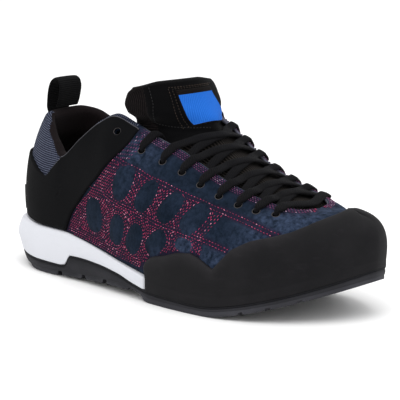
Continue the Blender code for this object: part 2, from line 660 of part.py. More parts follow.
def tongue_point(a, b, lift=0.0):
    """A point at a height of lift over the tongue's outer face."""
    a, b, lift = np.broadcast_arrays(*(np.asarray(v, float) for v in (a, b, lift)))
    reach = 0.02
    across = tongue_face(np.clip(a + reach, -1, 1), b) - tongue_face(np.clip(a - reach, -1, 1), b)
    along = tongue_face(a, np.clip(b + reach, 0, 1)) - tongue_face(a, np.clip(b - reach, 0, 1))
    normal = np.cross(across, along)
    normal /= np.linalg.norm(normal, axis=-1, keepdims=True)
    return tongue_face(a, b) + normal * lift[..., None]


def build_tongue():
    """Padded tongue: thin under the vamp, thick where it stands free at the top."""
    a, b = np.meshgrid(np.linspace(-1, 1, 11), np.append(np.linspace(0, 0.96, 16), [0.985, 1.0]))
    thick = smooth((0, 0.6, 0.8, 1.0), (TONGUE_WALL, TONGUE_WALL, TONGUE_PAD, TONGUE_PAD), b)
    rounding = np.sqrt(np.clip((1.0 - b) / 0.06, 0, 1)) * 0.75 + 0.25
    sides = 1.0 - 0.5 * np.clip((np.abs(a) - 0.7) / 0.3, 0, 1)
    mesh = shell("tongue", tongue_point(a, b), tongue_point(a, b, -thick * rounding * sides))
    add_object("tongue", mesh, (0.014, 0.014, 0.015), 0.9)


def build_label():
    """Thin woven label on the free end of the tongue."""
    (low, low_left, low_right), (high, high_left, high_right) = LABEL_ENDS
    along = np.linspace(0, 1, 10)[:, None]
    left = low_left + (high_left - low_left) * along
    right = low_right + (high_right - low_right) * along
    a = left + (right - left) * np.linspace(0, 1, 8)
    b = low + (high - low) * along + 0 * a
    mesh = shell("tongue_label", tongue_point(a, b, LABEL_LIFT + LABEL_WALL), tongue_point(a, b, LABEL_LIFT))
    add_object("tongue_label", mesh, (0.1, 0.25, 0.6), 0.8)


def build_pull_loop():
    """Webbing loop: sewn to the back of the heel, it rises and comes back to the collar's rim."""
    foot = upper_point(0.0, LOOP_FOOT, GAP + LOOP_WALL / 2 + 0.1)[:, [0, 2]]
    path = curve([*foot, *LOOP_FREE], np.linspace(0, 1, 22))
    along = np.gradient(path, axis=0)
    face = np.stack([-along[:, 1], along[:, 0]], -1)
    face /= np.linalg.norm(face, axis=-1, keepdims=True)
    y = np.linspace(-1, 1, 5)

    def side(offset):
        line = path + face * offset
        return np.stack([np.stack([line[:, 0] + LOOP_CUP * v * v, np.full(len(line), v * LOOP_WIDTH / 2),
                                   line[:, 1]], -1) for v in y], 1)

    mesh = shell("pull_loop", side(LOOP_WALL / 2), side(-LOOP_WALL / 2))
    add_object("pull_loop", mesh, (0.013, 0.013, 0.014), 0.85)


def along_tongue(s):
    """The tongue's share b that lies beside a section of the throat."""
    sections = [row[0] for row in TONGUE_LACED][::-1]
    return np.interp(s, sections, GUIDE_ALONG[:len(sections)][::-1])


def lace_route(side, upper_hole):
    """A strand's middle line: from a hole, over the throat's edge and across the tongue to the
    other edge, beside the next hole towards the toe. side is the side of its hole."""
    lift = GAP + LACE_THICK / 2
    (s, inset), (far_s, _) = EYELETS[upper_hole], EYELETS[upper_hole + 1]
    steps = [(0.02, inset - LACE_START), (0.10, inset * 0.42), (0.18, 1.0)]
    route = [upper_point(side * (s + ahead), t_below_top(side * (s + ahead), down), lift + 0.4)
             for ahead, down in steps]
    route.append(upper_point(side * (s + 0.24), 1.0, lift + 1.3) + (0.5, side * 2.4, 0.0))
    for share, a, clear in LACE_ACROSS:
        b = along_tongue(s + (far_s - s) * share)
        route.append(tongue_point(side * a, b, lift + clear))
    return np.array(route)


def lace_strand(name, route):
    """A strand of lace along a route."""
    line = curve(route, np.linspace(0, 1, 13))
    across = np.tile((1.0, 0.0, -0.35), (len(line), 1))
    return strip(name, line, across, LACE_WIDTH, LACE_THICK)


def build_laces():
    """Six crossings, each of two strands joined where they meet, and the bar across the front."""
    colour, roughness = (0.016, 0.016, 0.017), 0.85
    for hole in range(2, len(EYELETS) - 1):
        name = f"lace_crossing_{hole - 1}"
        over, under = (lace_strand(f"{name}_{word}", lace_route(side, hole))
                       for side, word in ((1, "over"), (-1, "under")))
        guide = add_object(f"{name}_under", under, colour, roughness)
        hide_guide(guide)
        add_boolean(add_object(name, over, colour, roughness), guide, "UNION")
    for side, word in ((1, "outer"), (-1, "inner")):
        name = f"lace_end_{word}"
        route = lace_route(side, 1)[:4]
        add_object(name, lace_strand(name, route), colour, roughness)
    s, inset = EYELETS[-1]
    lift = GAP + LACE_THICK / 2
    near, far = ([upper_point(side * s, t_below_top(side * s, down), lift + 1.1)
                  for down in (inset - LACE_START, 2.5)] for side in (1, -1))
    middle = tongue_point(0.0, along_tongue(15.0), lift + 1.5)
    add_object("lace_bar", lace_strand("lace_bar", [*near, middle, *far[::-1]]), colour, roughness)


def main():
    for thing in list(bpy.data.objects):
        bpy.data.objects.remove(thing)
    root = bpy.data.objects.new("shoe", None)
    bpy.context.scene.collection.objects.link(root)
    eyelets = build_eyelet_cutter()
    build_upper(eyelets)
    build_saddle(eyelets)
    build_heel_patch()
    build_rand()
    build_midsole()
    build_outsole()
    build_insole()
    build_tongue()
    build_label()
    build_pull_loop()
    build_laces()


main()
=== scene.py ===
"""The looks of an approach shoe for the right foot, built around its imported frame.

Lengths are in millimetres in the shoe's own axes, x from heel to toe, y to the inner
(medial) side and z up, until Maker turns them into metres in the frame. A place on the
upper is (s, t): s counts the sections of the last from the heel, positive on the outer
(lateral) side, and t runs from the sole line, 0, to the top line, 1.
"""

import logging
import math
from collections.abc import Iterator
from dataclasses import dataclass, field
from enum import Enum

import bmesh
import bpy
import numpy as np
from mathutils import Matrix, Vector


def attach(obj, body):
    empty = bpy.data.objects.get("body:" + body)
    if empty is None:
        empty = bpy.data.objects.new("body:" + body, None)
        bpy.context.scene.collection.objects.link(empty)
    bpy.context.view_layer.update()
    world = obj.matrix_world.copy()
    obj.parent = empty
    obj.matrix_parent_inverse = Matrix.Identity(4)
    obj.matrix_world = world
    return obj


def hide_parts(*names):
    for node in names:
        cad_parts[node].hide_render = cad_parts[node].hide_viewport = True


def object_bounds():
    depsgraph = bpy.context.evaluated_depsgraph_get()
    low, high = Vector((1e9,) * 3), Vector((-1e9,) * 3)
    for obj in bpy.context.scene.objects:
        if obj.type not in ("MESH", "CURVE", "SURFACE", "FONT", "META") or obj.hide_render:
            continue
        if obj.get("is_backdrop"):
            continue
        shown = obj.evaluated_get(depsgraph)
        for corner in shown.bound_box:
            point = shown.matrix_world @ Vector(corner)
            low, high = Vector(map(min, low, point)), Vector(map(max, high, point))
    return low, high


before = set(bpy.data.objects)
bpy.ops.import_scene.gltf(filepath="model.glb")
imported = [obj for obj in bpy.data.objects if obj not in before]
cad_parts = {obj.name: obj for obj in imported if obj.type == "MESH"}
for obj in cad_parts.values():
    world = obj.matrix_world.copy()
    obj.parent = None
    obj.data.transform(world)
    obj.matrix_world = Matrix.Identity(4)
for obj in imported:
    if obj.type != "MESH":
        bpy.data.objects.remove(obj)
CAD_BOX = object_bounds()

LOG = logging.getLogger("approach_shoe")
Array = np.ndarray
Mesh, Material, Socket = bpy.types.Mesh, bpy.types.Material, bpy.types.NodeSocket
MM = 0.001
# How many waves the wave texture has along one unit at scale 1.
WAVES_A_UNIT = 3.183
ORIGIN = np.array([134.38, -2.79, 0.0])
UP = np.array([0.0, 0.0, 1.0])

# The last's sections, as in the part's source. b is the sole line and t the top line, l the
# outer side and m the inner one. lean and flare are the wall's tilts at top and sole line.
COLUMNS = "bxl byl bxm bym bz txl tyl tzl txm tym tzm lean flare pull_low pull_high".split()
SECTIONS = {
    "heel_back": (4, 0, 4, 0, 33, 21, 0, 104, 21, 0, 104, 58, 5, 0.40, 0.30),
    "heel_round": (7, -15, 7, 15, 33, 23, -14, 103, 23, 14, 104.5, 60, 5, 0.40, 0.30),
    "heel_side": (18, -26, 18, 26, 32, 33, -24, 97, 32, 25, 101.5, 68, 5, 0.38, 0.30),
    "ankle_back": (36, -33, 36, 31, 31, 44, -30, 88, 43, 29.5, 95, 78, 5, 0.36, 0.30),
    "collar_dip": (56, -36, 56, 32, 31, 56, -34, 81, 57, 31, 89, 84, 5, 0.36, 0.30),
    "ankle_front": (77, -38, 76, 30, 28, 73, -33, 94, 74, 32, 98, 78, 6, 0.36, 0.30),
    "instep_back": (97, -41, 95, 30, 24.5, 86, -29, 105, 90, 31, 109, 68, 8, 0.38, 0.30),
    "hump": (115, -44, 112, 32, 21, 97, -25, 110, 104, 29.5, 114, 56, 9, 0.38, 0.30),
    "throat_1": (131, -46, 129, 35, 18, 110, -22, 105, 120, 29.5, 112, 48, 10, 0.40, 0.30),
    "throat_2": (147, -48.5, 146, 38, 15.5, 128, -20, 97, 136, 29, 106.5, 44, 10, 0.40, 0.30),
    "throat_3": (163, -50, 164, 41, 14, 146, -19, 91, 150, 28, 98.5, 40, 10, 0.42, 0.30),
    "throat_4": (179, -50.5, 182, 43, 13.5, 164, -18.5, 83, 164, 27, 89.5, 36, 10, 0.42, 0.30),
    "throat_5": (194, -50, 199, 44, 14, 183, -18, 75.5, 181, 26, 79.5, 32, 10, 0.42, 0.30),
    "throat_6": (207, -47.5, 214, 44, 15.5, 202, -17, 69.5, 201, 24.5, 72, 26, 10, 0.44, 0.34),
    "throat_7": (218, -44, 227, 42.5, 18, 218, -14, 65.5, 219, 22, 67.5, 18, 9, 0.46, 0.38),
    "throat_turn": (229, -38.5, 237, 39.5, 21, 229, -8, 63.5, 231.5, 15, 64.3, 10, 8, 0.48, 0.44),
    "vamp": (240, -31, 246.5, 35.5, 25, 234, 4.5, 62.8, 234, 4.5, 62.8, 3, 7, 0.52, 0.50),
    "toe_1": (250, -22.5, 255.5, 30.5, 29, 242, 7, 62.4, 242, 7, 62.4, 3, 6, 0.53, 0.50),
    "toe_2": (259, -12.5, 263.5, 24.5, 32.5, 249, 9, 61.8, 249, 9, 61.8, 5, 6, 0.53, 0.50),
    "toe_3": (266.5, -1.5, 269, 17.5, 35.5, 254.5, 10.5, 60.6, 254.5, 10.5, 60.6, 9, 6, 0.53, 0.50),
    "toe_tip": (270.5, 9, 270.5, 9, 37, 258, 11, 59, 258, 11, 59, 13, 6, 0.53, 0.50),
}
TIP = len(SECTIONS) - 1
VAMP = list(SECTIONS).index("vamp")
HUMP = list(SECTIONS).index("hump")

# The punched lace holes: section, and distance below the top line.
EYELETS = [
    (7.40, 12.1), (8.60, 13.8), (9.50, 13.4), (10.35, 13.0), (11.15, 12.9),
    (11.90, 12.8), (12.60, 12.2), (13.30, 11.2), (14.05, 9.2),
]

# The saddle: its front edge as (share of its height, section), and its upper edge behind
# the ankle as (section, height).
SADDLE_FRONT = [
    (0.0, 4.25), (0.24, 4.62), (0.34, 4.94), (0.44, 5.4), (0.57, 6.5), (0.66, 7.2), (0.76, 7.75),
    (0.88, 8.12), (1.0, 8.25),
]
SADDLE_TOP = [(0.0, 79.0), (1.0, 77.0), (2.0, 71.0), (3.0, 64.5), (3.45, 70.6), (4.0, 78.1)]

# The rand's upper edge as (section, share of the upper's height).
RAND_EDGE = [
    (8.72, 0.07), (8.9, 0.11), (9.25, 0.15), (9.95, 0.185), (10.6, 0.235), (11.2, 0.262), (11.55, 0.25),
    (12.25, 0.19), (12.6, 0.27), (13.0, 0.37), (13.7, 0.47), (14.8, 0.545), (15.9, 0.58),
    (16.5, 0.67), (17.15, 0.785), (17.6, 0.88), (18.125, 1.0),
]

# The heel's set-in below its widest line: how far at the ground, up to which height, and the
# sections where it is full and where it has gone.
HEEL_TUCK = 7.0
HEEL_TUCK_TOP = 21.0
HEEL_TUCK_FULL = 0.8
HEEL_TUCK_GONE = 3.0


def smooth(knots: Array, values: Array, at: Array) -> Array:
    """Read a monotone cubic through knots, which never swings past its values.

    Hermite pieces whose slopes are weighted harmonic means of the neighbouring rises.

    Args:
        knots: Rising places, one for each value.
        values: One value a knot, or one row of values a knot in the shape of at.
        at: Where to read; places outside the knots read the end values.

    Returns:
        The values at those places.
    """
    knots, values, at = (np.asarray(a, float) for a in (knots, values, at))
    own = values.ndim > 1
    step = np.diff(knots).reshape(-1, *([1] * (values.ndim - 1)))
    rise = np.diff(values, axis=0) / step
    near, far = 2 * step[1:] + step[:-1], step[1:] + 2 * step[:-1]
    turning = rise[:-1] * rise[1:] <= 0
    before, after = (np.where(turning, 1.0, side) for side in (rise[:-1], rise[1:]))
    inner = np.where(turning, 0.0, (near + far) / (near / before + far / after))
    slope = np.concatenate([rise[:1], inner, rise[-1:]])
    i = np.clip(np.searchsorted(knots, at, side="right") - 1, 0, len(knots) - 2)
    width = np.diff(knots)[i]
    u = np.clip((at - knots[i]) / width, 0.0, 1.0)

    def pick(rows: Array, index: Array) -> Array:
        """Take each place's own value from the rows."""
        return np.take_along_axis(rows, index[None], 0)[0] if own else rows[index]

    return (
        (1 + 2 * u) * (1 - u) ** 2 * pick(values, i)
        + u * (1 - u) ** 2 * width * pick(slope, i)
        + u * u * (3 - 2 * u) * pick(values, i + 1)
        + u * u * (u - 1) * width * pick(slope, i + 1)
    )


def table(rows: list, at: Array) -> Array:
    """Read the smooth curve of a short table of (place, value) rows."""
    return smooth(*zip(*rows), at)


def round_shoe(count: int) -> Array:
    """Give sections evenly round the whole shoe, from the toe over the inner side and back."""
    return np.linspace(-TIP, TIP, count + 1)[:-1]


def unit(vectors: Array) -> Array:
    """Scale vectors to length one."""
    return vectors / np.maximum(np.linalg.norm(vectors, axis=-1, keepdims=True), 1e-9)


def run_length(points: Array) -> Array:
    """Sum the distance along a row of points, from zero."""
    return np.concatenate([[0.0], np.cumsum(np.linalg.norm(np.diff(points, axis=0), axis=1))])


def curve(points: Array, at: Array) -> Array:
    """Read a smooth curve through points by its length.

    Args:
        points: The points, in order.
        at: Shares of the curve's length, from 0 to 1.

    Returns:
        One point for each share.
    """
    points = np.asarray(points, float)
    far = run_length(points)
    return np.stack([smooth(far / far[-1], column, at) for column in points.T], -1)


def ease(value: Array, low: float, high: float) -> Array:
    """Rise smoothly from 0 at low to 1 at high, as a cubic step."""
    u = np.clip((np.asarray(value, float) - low) / (high - low), 0.0, 1.0)
    return u * u * (3 - 2 * u)


def ripple(x: Array, y: Array, size: float, seed: int) -> Array:
    """Make gentle unevenness, from -1 to 1, as the mean of six crossing sine waves.

    Args:
        x: First coordinate.
        y: Second coordinate.
        size: Length of the shortest wave.
        seed: Seed for the waves' directions and phases.

    Returns:
        The height at each place.
    """
    rng = np.random.default_rng(seed)
    total = np.zeros(np.broadcast(x, y).shape)
    waves = rng.uniform(0, np.pi, 6), rng.uniform(0, 6.28, 6), rng.uniform(1, 2.6, 6)
    for turn, phase, stretch in zip(*waves):
        total += np.sin((x * np.cos(turn) + y * np.sin(turn)) * 6.28 / (size * stretch) + phase)
    return total / 6


def rounded(share: Array) -> Array:
    """Rise as a quarter circle from 0 at 0 to 1 at 1, and stay there."""
    return np.sqrt(1 - (1 - np.clip(share, 0, 1)) ** 2)


def straight(rows: list, at: Array, left: float | None = None) -> Array:
    """Read a short table of (place, value) rows with straight lines between them."""
    return np.interp(at, *zip(*rows), left=left)


def pair(across: Array, along: Array) -> Array:
    """Spread two coordinates to one grid and pair them as a chart."""
    return np.stack(np.broadcast_arrays(across, along), -1)


def circle(count: int) -> Array:
    """Give evenly spaced angles once round."""
    return 2 * np.pi * np.arange(count) / count


def power(value: Array, exponent: float) -> Array:
    """Raise the size of a value to a power and keep its sign."""
    return np.sign(value) * np.abs(value) ** exponent


def walk(line: Array, far: Array, at: Array) -> Array:
    """Give the points of a line at distances along it, far being its own distances."""
    return np.stack([np.interp(at, far, column) for column in line.T], -1)


def spanned(first: Array, second: Array) -> Array:
    """Give the signed areas that rows of flat vectors span."""
    return first[:, 0] * second[:, 1] - first[:, 1] * second[:, 0]


@dataclass(frozen=True)
class Last:
    """The form that the shoe is lasted on: the upper's outer face as a function of (s, t)."""

    collar_pad: float = 7.0
    wall: float = 2.0

    def column(self, name: str) -> Array:
        """Give one column of the sections' table."""
        return np.array([row[COLUMNS.index(name)] for row in SECTIONS.values()], float)

    def around(self, outer: str, inner: str, s: Array) -> Array:
        """Read a pair of columns round the whole shoe, smooth over the heel and the toe."""
        lateral, medial = self.column(outer), self.column(inner)
        past = lateral[TIP - 1:TIP - 3:-1], medial[TIP - 1:TIP - 3:-1]
        values = np.concatenate([past[0][::-1], medial[:0:-1], lateral, past[1]])
        return smooth(np.arange(-TIP - 2, TIP + 3), values, s)

    def sole_line(self, s: Array) -> Array:
        """Give the points where the upper meets the sole."""
        names = (("bxl", "bxm"), ("byl", "bym"), ("bz", "bz"))
        return np.stack([self.around(*sides, s) for sides in names], -1)

    def top_line(self, s: Array) -> Array:
        """Give the points of the collar, the throat's edges and the ridge of the toe."""
        ridge_s = np.clip(np.abs(s), VAMP, TIP)
        columns = []
        for c in "xyz":
            ridge = smooth(np.arange(VAMP, TIP + 1), self.column(f"t{c}l")[VAMP:], ridge_s)
            columns.append(np.where(np.abs(s) >= VAMP, ridge, self.around(f"t{c}l", f"t{c}m", s)))
        return np.stack(columns, -1)

    def outward(self, s: Array) -> Array:
        """Give level unit vectors that point away from the shoe, square to the sole line."""
        reach = 0.02
        along = self.sole_line(np.clip(s + reach, -TIP, TIP)) - self.sole_line(np.clip(s - reach, -TIP, TIP))
        level = np.stack([along[..., 1], -along[..., 0], 0 * along[..., 0]], -1)
        level[np.abs(s) >= TIP - reach] = (1.0, 0.0, 0.0)
        return unit(level)

    def value(self, name: str, s: Array) -> Array:
        """Read a column that both sides share."""
        return smooth(np.arange(TIP + 1), self.column(name), np.abs(s))[..., None]

    def face(self, s: Array, t: Array) -> Array:
        """Give the outer face: in each section a cubic from the sole line to the top line.

        The two inner control points stand off their ends by a share of the chord, along
        the wall's tilt there.

        Args:
            s: Sections.
            t: Shares of the height.

        Returns:
            Points of the face.
        """
        s, t = np.broadcast_arrays(np.asarray(s, float), np.asarray(t, float))
        low, high, out = self.sole_line(s), self.top_line(s), self.outward(s)
        lean, flare = (np.radians(self.value(name, s)) for name in ("lean", "flare"))
        chord = np.linalg.norm(high - low, axis=-1, keepdims=True)
        low_pull = low + chord * self.value("pull_low", s) * (out * np.sin(flare) + UP * np.cos(flare))
        high_pull = high + chord * self.value("pull_high", s) * (out * np.cos(lean) - UP * np.sin(lean))
        u = t[..., None]
        return (
            (1 - u) ** 3 * low
            + 3 * (1 - u) ** 2 * u * low_pull
            + 3 * (1 - u) * u * u * high_pull
            + u**3 * high
        )

    def face_normal(self, s: Array, t: Array) -> Array:
        """Give the face's unit normal as the cross product of its two directions."""
        reach = 0.01
        along = self.face(np.clip(s + reach, -TIP, TIP), t) - self.face(np.clip(s - reach, -TIP, TIP), t)
        rising = self.face(s, np.clip(t + reach, 0, 1)) - self.face(s, np.clip(t - reach, 0, 1))
        return unit(np.cross(along, rising))

    def normal(self, s: Array, t: Array) -> Array:
        """Give unit normals that the two sides share along the toe's ridge and at its tip."""
        s, t = np.broadcast_arrays(np.asarray(s, float), np.asarray(t, float))
        side = np.where(s < 0, -1.0, 1.0)
        near = np.minimum(np.abs(s), TIP - 1)
        top = np.ones_like(t)
        ridge = self.face_normal(near, top) + self.face_normal(-near, top)
        other = np.maximum(np.abs(s) - near, 0)[..., None] / 2
        normal = (1 - other) * self.face_normal(side * near, t) + other * self.face_normal(-side * near, t)
        share = np.where(np.abs(s) >= VAMP, np.clip((t - 0.8) / 0.2, 0, 1), 0.0)[..., None]
        return unit((1 - share) * normal + share * ridge)

    def point(self, s: Array, t: Array, lift: Array = 0.0) -> Array:
        """Give the point at a height of lift over the face."""
        s, t, lift = np.broadcast_arrays(*(np.asarray(a, float) for a in (s, t, lift)))
        return self.face(s, t) + self.normal(s, t) * lift[..., None]

    def thickness(self, s: Array, t: Array) -> Array:
        """Give the upper's wall, padded round the collar and down to the throat."""
        near_heel = np.sqrt(np.clip(1.15 - np.abs(s) / (HUMP + 1.5), 0, 1))
        return self.wall + (self.collar_pad - self.wall) * near_heel * np.clip((t - 0.35) / 0.4, 0, 1)

    def below_top(self, s: Array, distance: Array) -> Array:
        """Give the t at a distance along the face below the top line.

        Args:
            s: Sections.
            distance: One distance for each section.

        Returns:
            One t for each section.
        """
        s, distance = np.broadcast_arrays(np.atleast_1d(np.asarray(s, float)), np.asarray(distance, float))
        samples = np.linspace(1, 0.4, 41)
        rows = self.face(s[:, None], samples[None, :])
        steps = np.linalg.norm(np.diff(rows, axis=1), axis=2)
        run = np.concatenate([np.zeros((len(s), 1)), np.cumsum(steps, 1)], 1)
        return np.array([np.interp(d, r, samples) for d, r in zip(distance, run)])

    def place(self, x: Array, z: Array) -> tuple[Array, Array]:
        """Find (s, t) on the outer side for places charted from the side as (x, z).

        Newton steps on the face's own x and z, from a straight-line first guess.

        Args:
            x: Distances from the heel.
            z: Heights.

        Returns:
            The sections and shares of height.
        """
        section_gap = 17.0
        x, z = (np.asarray(a, float).ravel() for a in (x, z))
        knots = np.linspace(0.5, TIP - 0.5, 80)
        low, high = self.sole_line(knots), self.top_line(knots)
        s = np.interp(x, np.maximum.accumulate(low[:, 0]), knots)
        for _ in range(3):
            rise = np.interp(s, knots, high[:, 2] - low[:, 2])
            t = np.clip((z - np.interp(s, knots, low[:, 2])) / rise, 0.02, 0.98)
            middle = (1 - t) * np.interp(s, knots, low[:, 0]) + t * np.interp(s, knots, high[:, 0])
            s = np.clip(s + (x - middle) / section_gap, 0.5, TIP - 0.5)
        step = 0.01
        for _ in range(12):
            tries = ((s, t), (s + step, t), (s, t + step))
            here, ahead, above = (self.face(a, b)[:, [0, 2]] for a, b in tries)
            ds, dt = (ahead - here) / step, (above - here) / step
            miss = np.stack([x, z], -1) - here
            area = spanned(ds, dt)
            area = np.where(np.abs(area) < 1e-6, 1e-6, area)
            s = np.clip(s + np.clip(spanned(miss, dt) / area, -1, 1), 0.2, TIP - 0.2)
            t = np.clip(t + np.clip(spanned(ds, miss) / area, -0.2, 0.2), 0.0, 0.99)
        return s, t


@dataclass(frozen=True)
class SoleForm:
    """The sole's ring: how far it stands out beside the sections, and its ground line."""

    gap: float = 0.3
    slab: float = 5.0
    lug_depth: float = 3.2
    lug_inset: float = 2.2
    toe_spring: float = 26.0
    spring_start: float = 188.0
    spring_length: float = 90.0
    heel_bevel: float = 5.0
    bevel_length: float = 16.0
    side: tuple = (
        (0.0, 4.0, 9.5, 21.0, 19.0), (0.5, 4.0, 9.4, 21.0, 17.0), (1.0, 4.0, 9.1, 21.0, 11.0),
        (1.4, 3.6, 8.2, 20.5, 9.4), (2.0, 2.6, 6.0, 19.0, 9.0), (3.0, 1.6, 4.2, 17.0, 8.6),
        (4.0, 1.4, 3.4, 17.0, 8.4),
        (4.30, 1.4, 3.4, 18.0, 9.5), (4.55, 1.4, 3.2, 18.5, 16.0), (5.0, 1.4, 3.0, 18.0, 16.2),
        (6.0, 1.6, 2.8, 17.0, 15.4), (7.0, 2.0, 2.8, 15.0, 13.4), (8.0, 2.6, 3.0, 12.0, 9.6),
        (9.0, 3.0, 3.0, 9.0, 7.2), (12.0, 3.0, 3.0, 8.0, 6.2), (16.0, 3.0, 3.0, 20.0, 6.6),
        (20.0, 3.0, 3.0, 33.0, 8.4),
    )
    arch: tuple = (
        (-10, 0), (42, 0), (60, 1.4), (80, 2.3), (110, 3.8), (124, 4.0), (136, 2.2), (146, 0), (290, 0),
    )
    cuts: tuple = (
        (53.5, 57.0, 3.2), (76.5, 80.0, 3.2), (98.5, 102.0, 3.2), (124.0, 139.0, 1.6),
        (214.0, 216.5, 1.6), (229.0, 231.5, 1.6), (244.0, 246.5, 1.6),
    )

    def value(self, name: str, s: Array) -> Array:
        """Read one column of the side's table."""
        rows = np.array(self.side)
        return smooth(rows[:, 0], rows[:, "s top_out wide_out wide_z rubber".split().index(name)], np.abs(s))

    def end_rise(self, x: Array) -> Array:
        """Give how far the ends leave the ground: a bevel at the heel, the spring at the toe."""
        spring = self.toe_spring * (np.clip(x - self.spring_start, 0, None) / self.spring_length) ** 1.5
        bevel = self.heel_bevel * (np.clip(self.bevel_length - x, 0, None) / self.bevel_length) ** 2
        return spring + bevel

    def floor(self, x: Array) -> Array:
        """Give the underside's height, with its arch."""
        return self.end_rise(x) + table(self.arch, x)

    def cut(self, x: Array) -> Array:
        """Give how deep the cross cuts go at x, with slightly sloping sides."""
        depth = np.zeros_like(np.asarray(x, float))
        for start, end, deep in self.cuts:
            inside = ease(x, start - 0.5, start + 0.2) * (1 - ease(x, end - 0.2, end + 0.5))
            depth = np.maximum(depth, deep * inside)
        return depth


def ring_at(last: Last, s: Array, reach: Array, z: Array) -> Array:
    """Give points round the shoe at a distance outside the sole line and at a height.

    Below its widest line the heel is set in, evenly with the height.

    Args:
        last: The form of the shoe.
        s: Sections.
        reach: Distance outside the sole line, one or one a section.
        z: Height, one or one a section.

    Returns:
        One point for each section.
    """
    around_heel = 1 - ease(np.abs(s), HEEL_TUCK_FULL, HEEL_TUCK_GONE)
    tuck = HEEL_TUCK * around_heel * np.clip(1 - z / HEEL_TUCK_TOP, 0, 1)
    points = last.sole_line(s) + last.outward(s) * np.broadcast_to(reach - tuck, s.shape)[..., None]
    points[..., 2] = z
    return points


@dataclass(frozen=True)
class TongueForm:
    """The tongue's outer face as a function of a, across it, and b, along it from the vamp."""

    last: Last
    sink: float = 1.5
    across: tuple = (-1.0, -0.6, 0.0, 0.6, 1.0)
    laced: tuple = (
        (16.3, 240.0, 4.5, 58.5), (15.6, 232.5, 4.5, 60.5), (14.8, 225.0, 4.0, 63.5),
        (14.0, 216.5, 4.0, 66.5), (13.0, 201.5, 4.0, 72.0), (12.0, 184.0, 4.5, 79.5),
        (11.0, 167.5, 5.0, 88.5), (10.0, 155.0, 6.0, 97.0), (9.2, 149.5, 7.0, 103.5),
    )
    free: tuple = (
        ((104, -16.5, 104), (121, -13, 103.5), (147, 8, 107), (135, 23, 108), (113, 22, 108)),
        ((105.5, -26.5, 111), (124.5, -18, 112), (142.5, 8, 114), (137, 25.5, 114), (112, 30, 117)),
        ((106, -29, 117), (125, -17, 119), (139, 8, 121), (134, 26.5, 121), (112, 34, 122)),
        ((108.5, -28.5, 123), (124, -16, 127), (136, 8, 128), (131, 25.5, 127), (114, 33.5, 126)),
        ((111.5, -26.5, 127), (123.5, -15.5, 131.5), (133, 8, 133.3), (128, 23.5, 130.5), (117, 31, 128.5)),
    )
    guides: Array = field(init=False, repr=False, compare=False)

    def __post_init__(self) -> None:
        """Work out the five guide points of each row: wings under the upper, crest, wings."""
        rows = []
        for s, *crest in self.laced:
            pairs = {}
            for side in (1, -1):
                t = np.array([0.84, 0.985])
                pairs[side] = list(self.last.point(side * s, t, -self.last.thickness(s, t) - self.sink))
            rows.append(pairs[1] + [np.array(crest)] + pairs[-1][::-1])
        free = [list(map(np.array, row)) for row in self.free]
        object.__setattr__(self, "guides", np.array(rows + free, float))

    def face(self, a: Array, b: Array) -> Array:
        """Give points of the face: smooth along each guide, then smooth across the guides."""
        a, b = np.broadcast_arrays(np.asarray(a, float), np.asarray(b, float))
        knots = np.linspace(0, 1, len(self.guides))
        columns = []
        for c in range(3):
            rows = np.stack([smooth(knots, self.guides[:, k, c], b) for k in range(len(self.across))])
            columns.append(smooth(self.across, rows, a))
        return np.stack(columns, -1)

    def normal(self, a: Array, b: Array) -> Array:
        """Give the outward unit normal."""
        reach = 0.02
        a, b = np.broadcast_arrays(np.asarray(a, float), np.asarray(b, float))
        across = self.face(np.clip(a + reach, -1, 1), b) - self.face(np.clip(a - reach, -1, 1), b)
        along = self.face(a, np.clip(b + reach, 0, 1)) - self.face(a, np.clip(b - reach, 0, 1))
        return unit(np.cross(across, along))

    def point(self, a: Array, b: Array, lift: Array = 0.0) -> Array:
        """Give the point at a height of lift over the face."""
        a, b, lift = np.broadcast_arrays(*(np.asarray(v, float) for v in (a, b, lift)))
        return self.face(a, b) + self.normal(a, b) * lift[..., None]

    def beside(self, s: float) -> float:
        """Give the share along the tongue that lies beside a section of the throat."""
        sections = [row[0] for row in self.laced][::-1]
        knots = np.linspace(0, 1, len(self.guides))
        return float(np.interp(s, sections, knots[:len(sections)][::-1]))


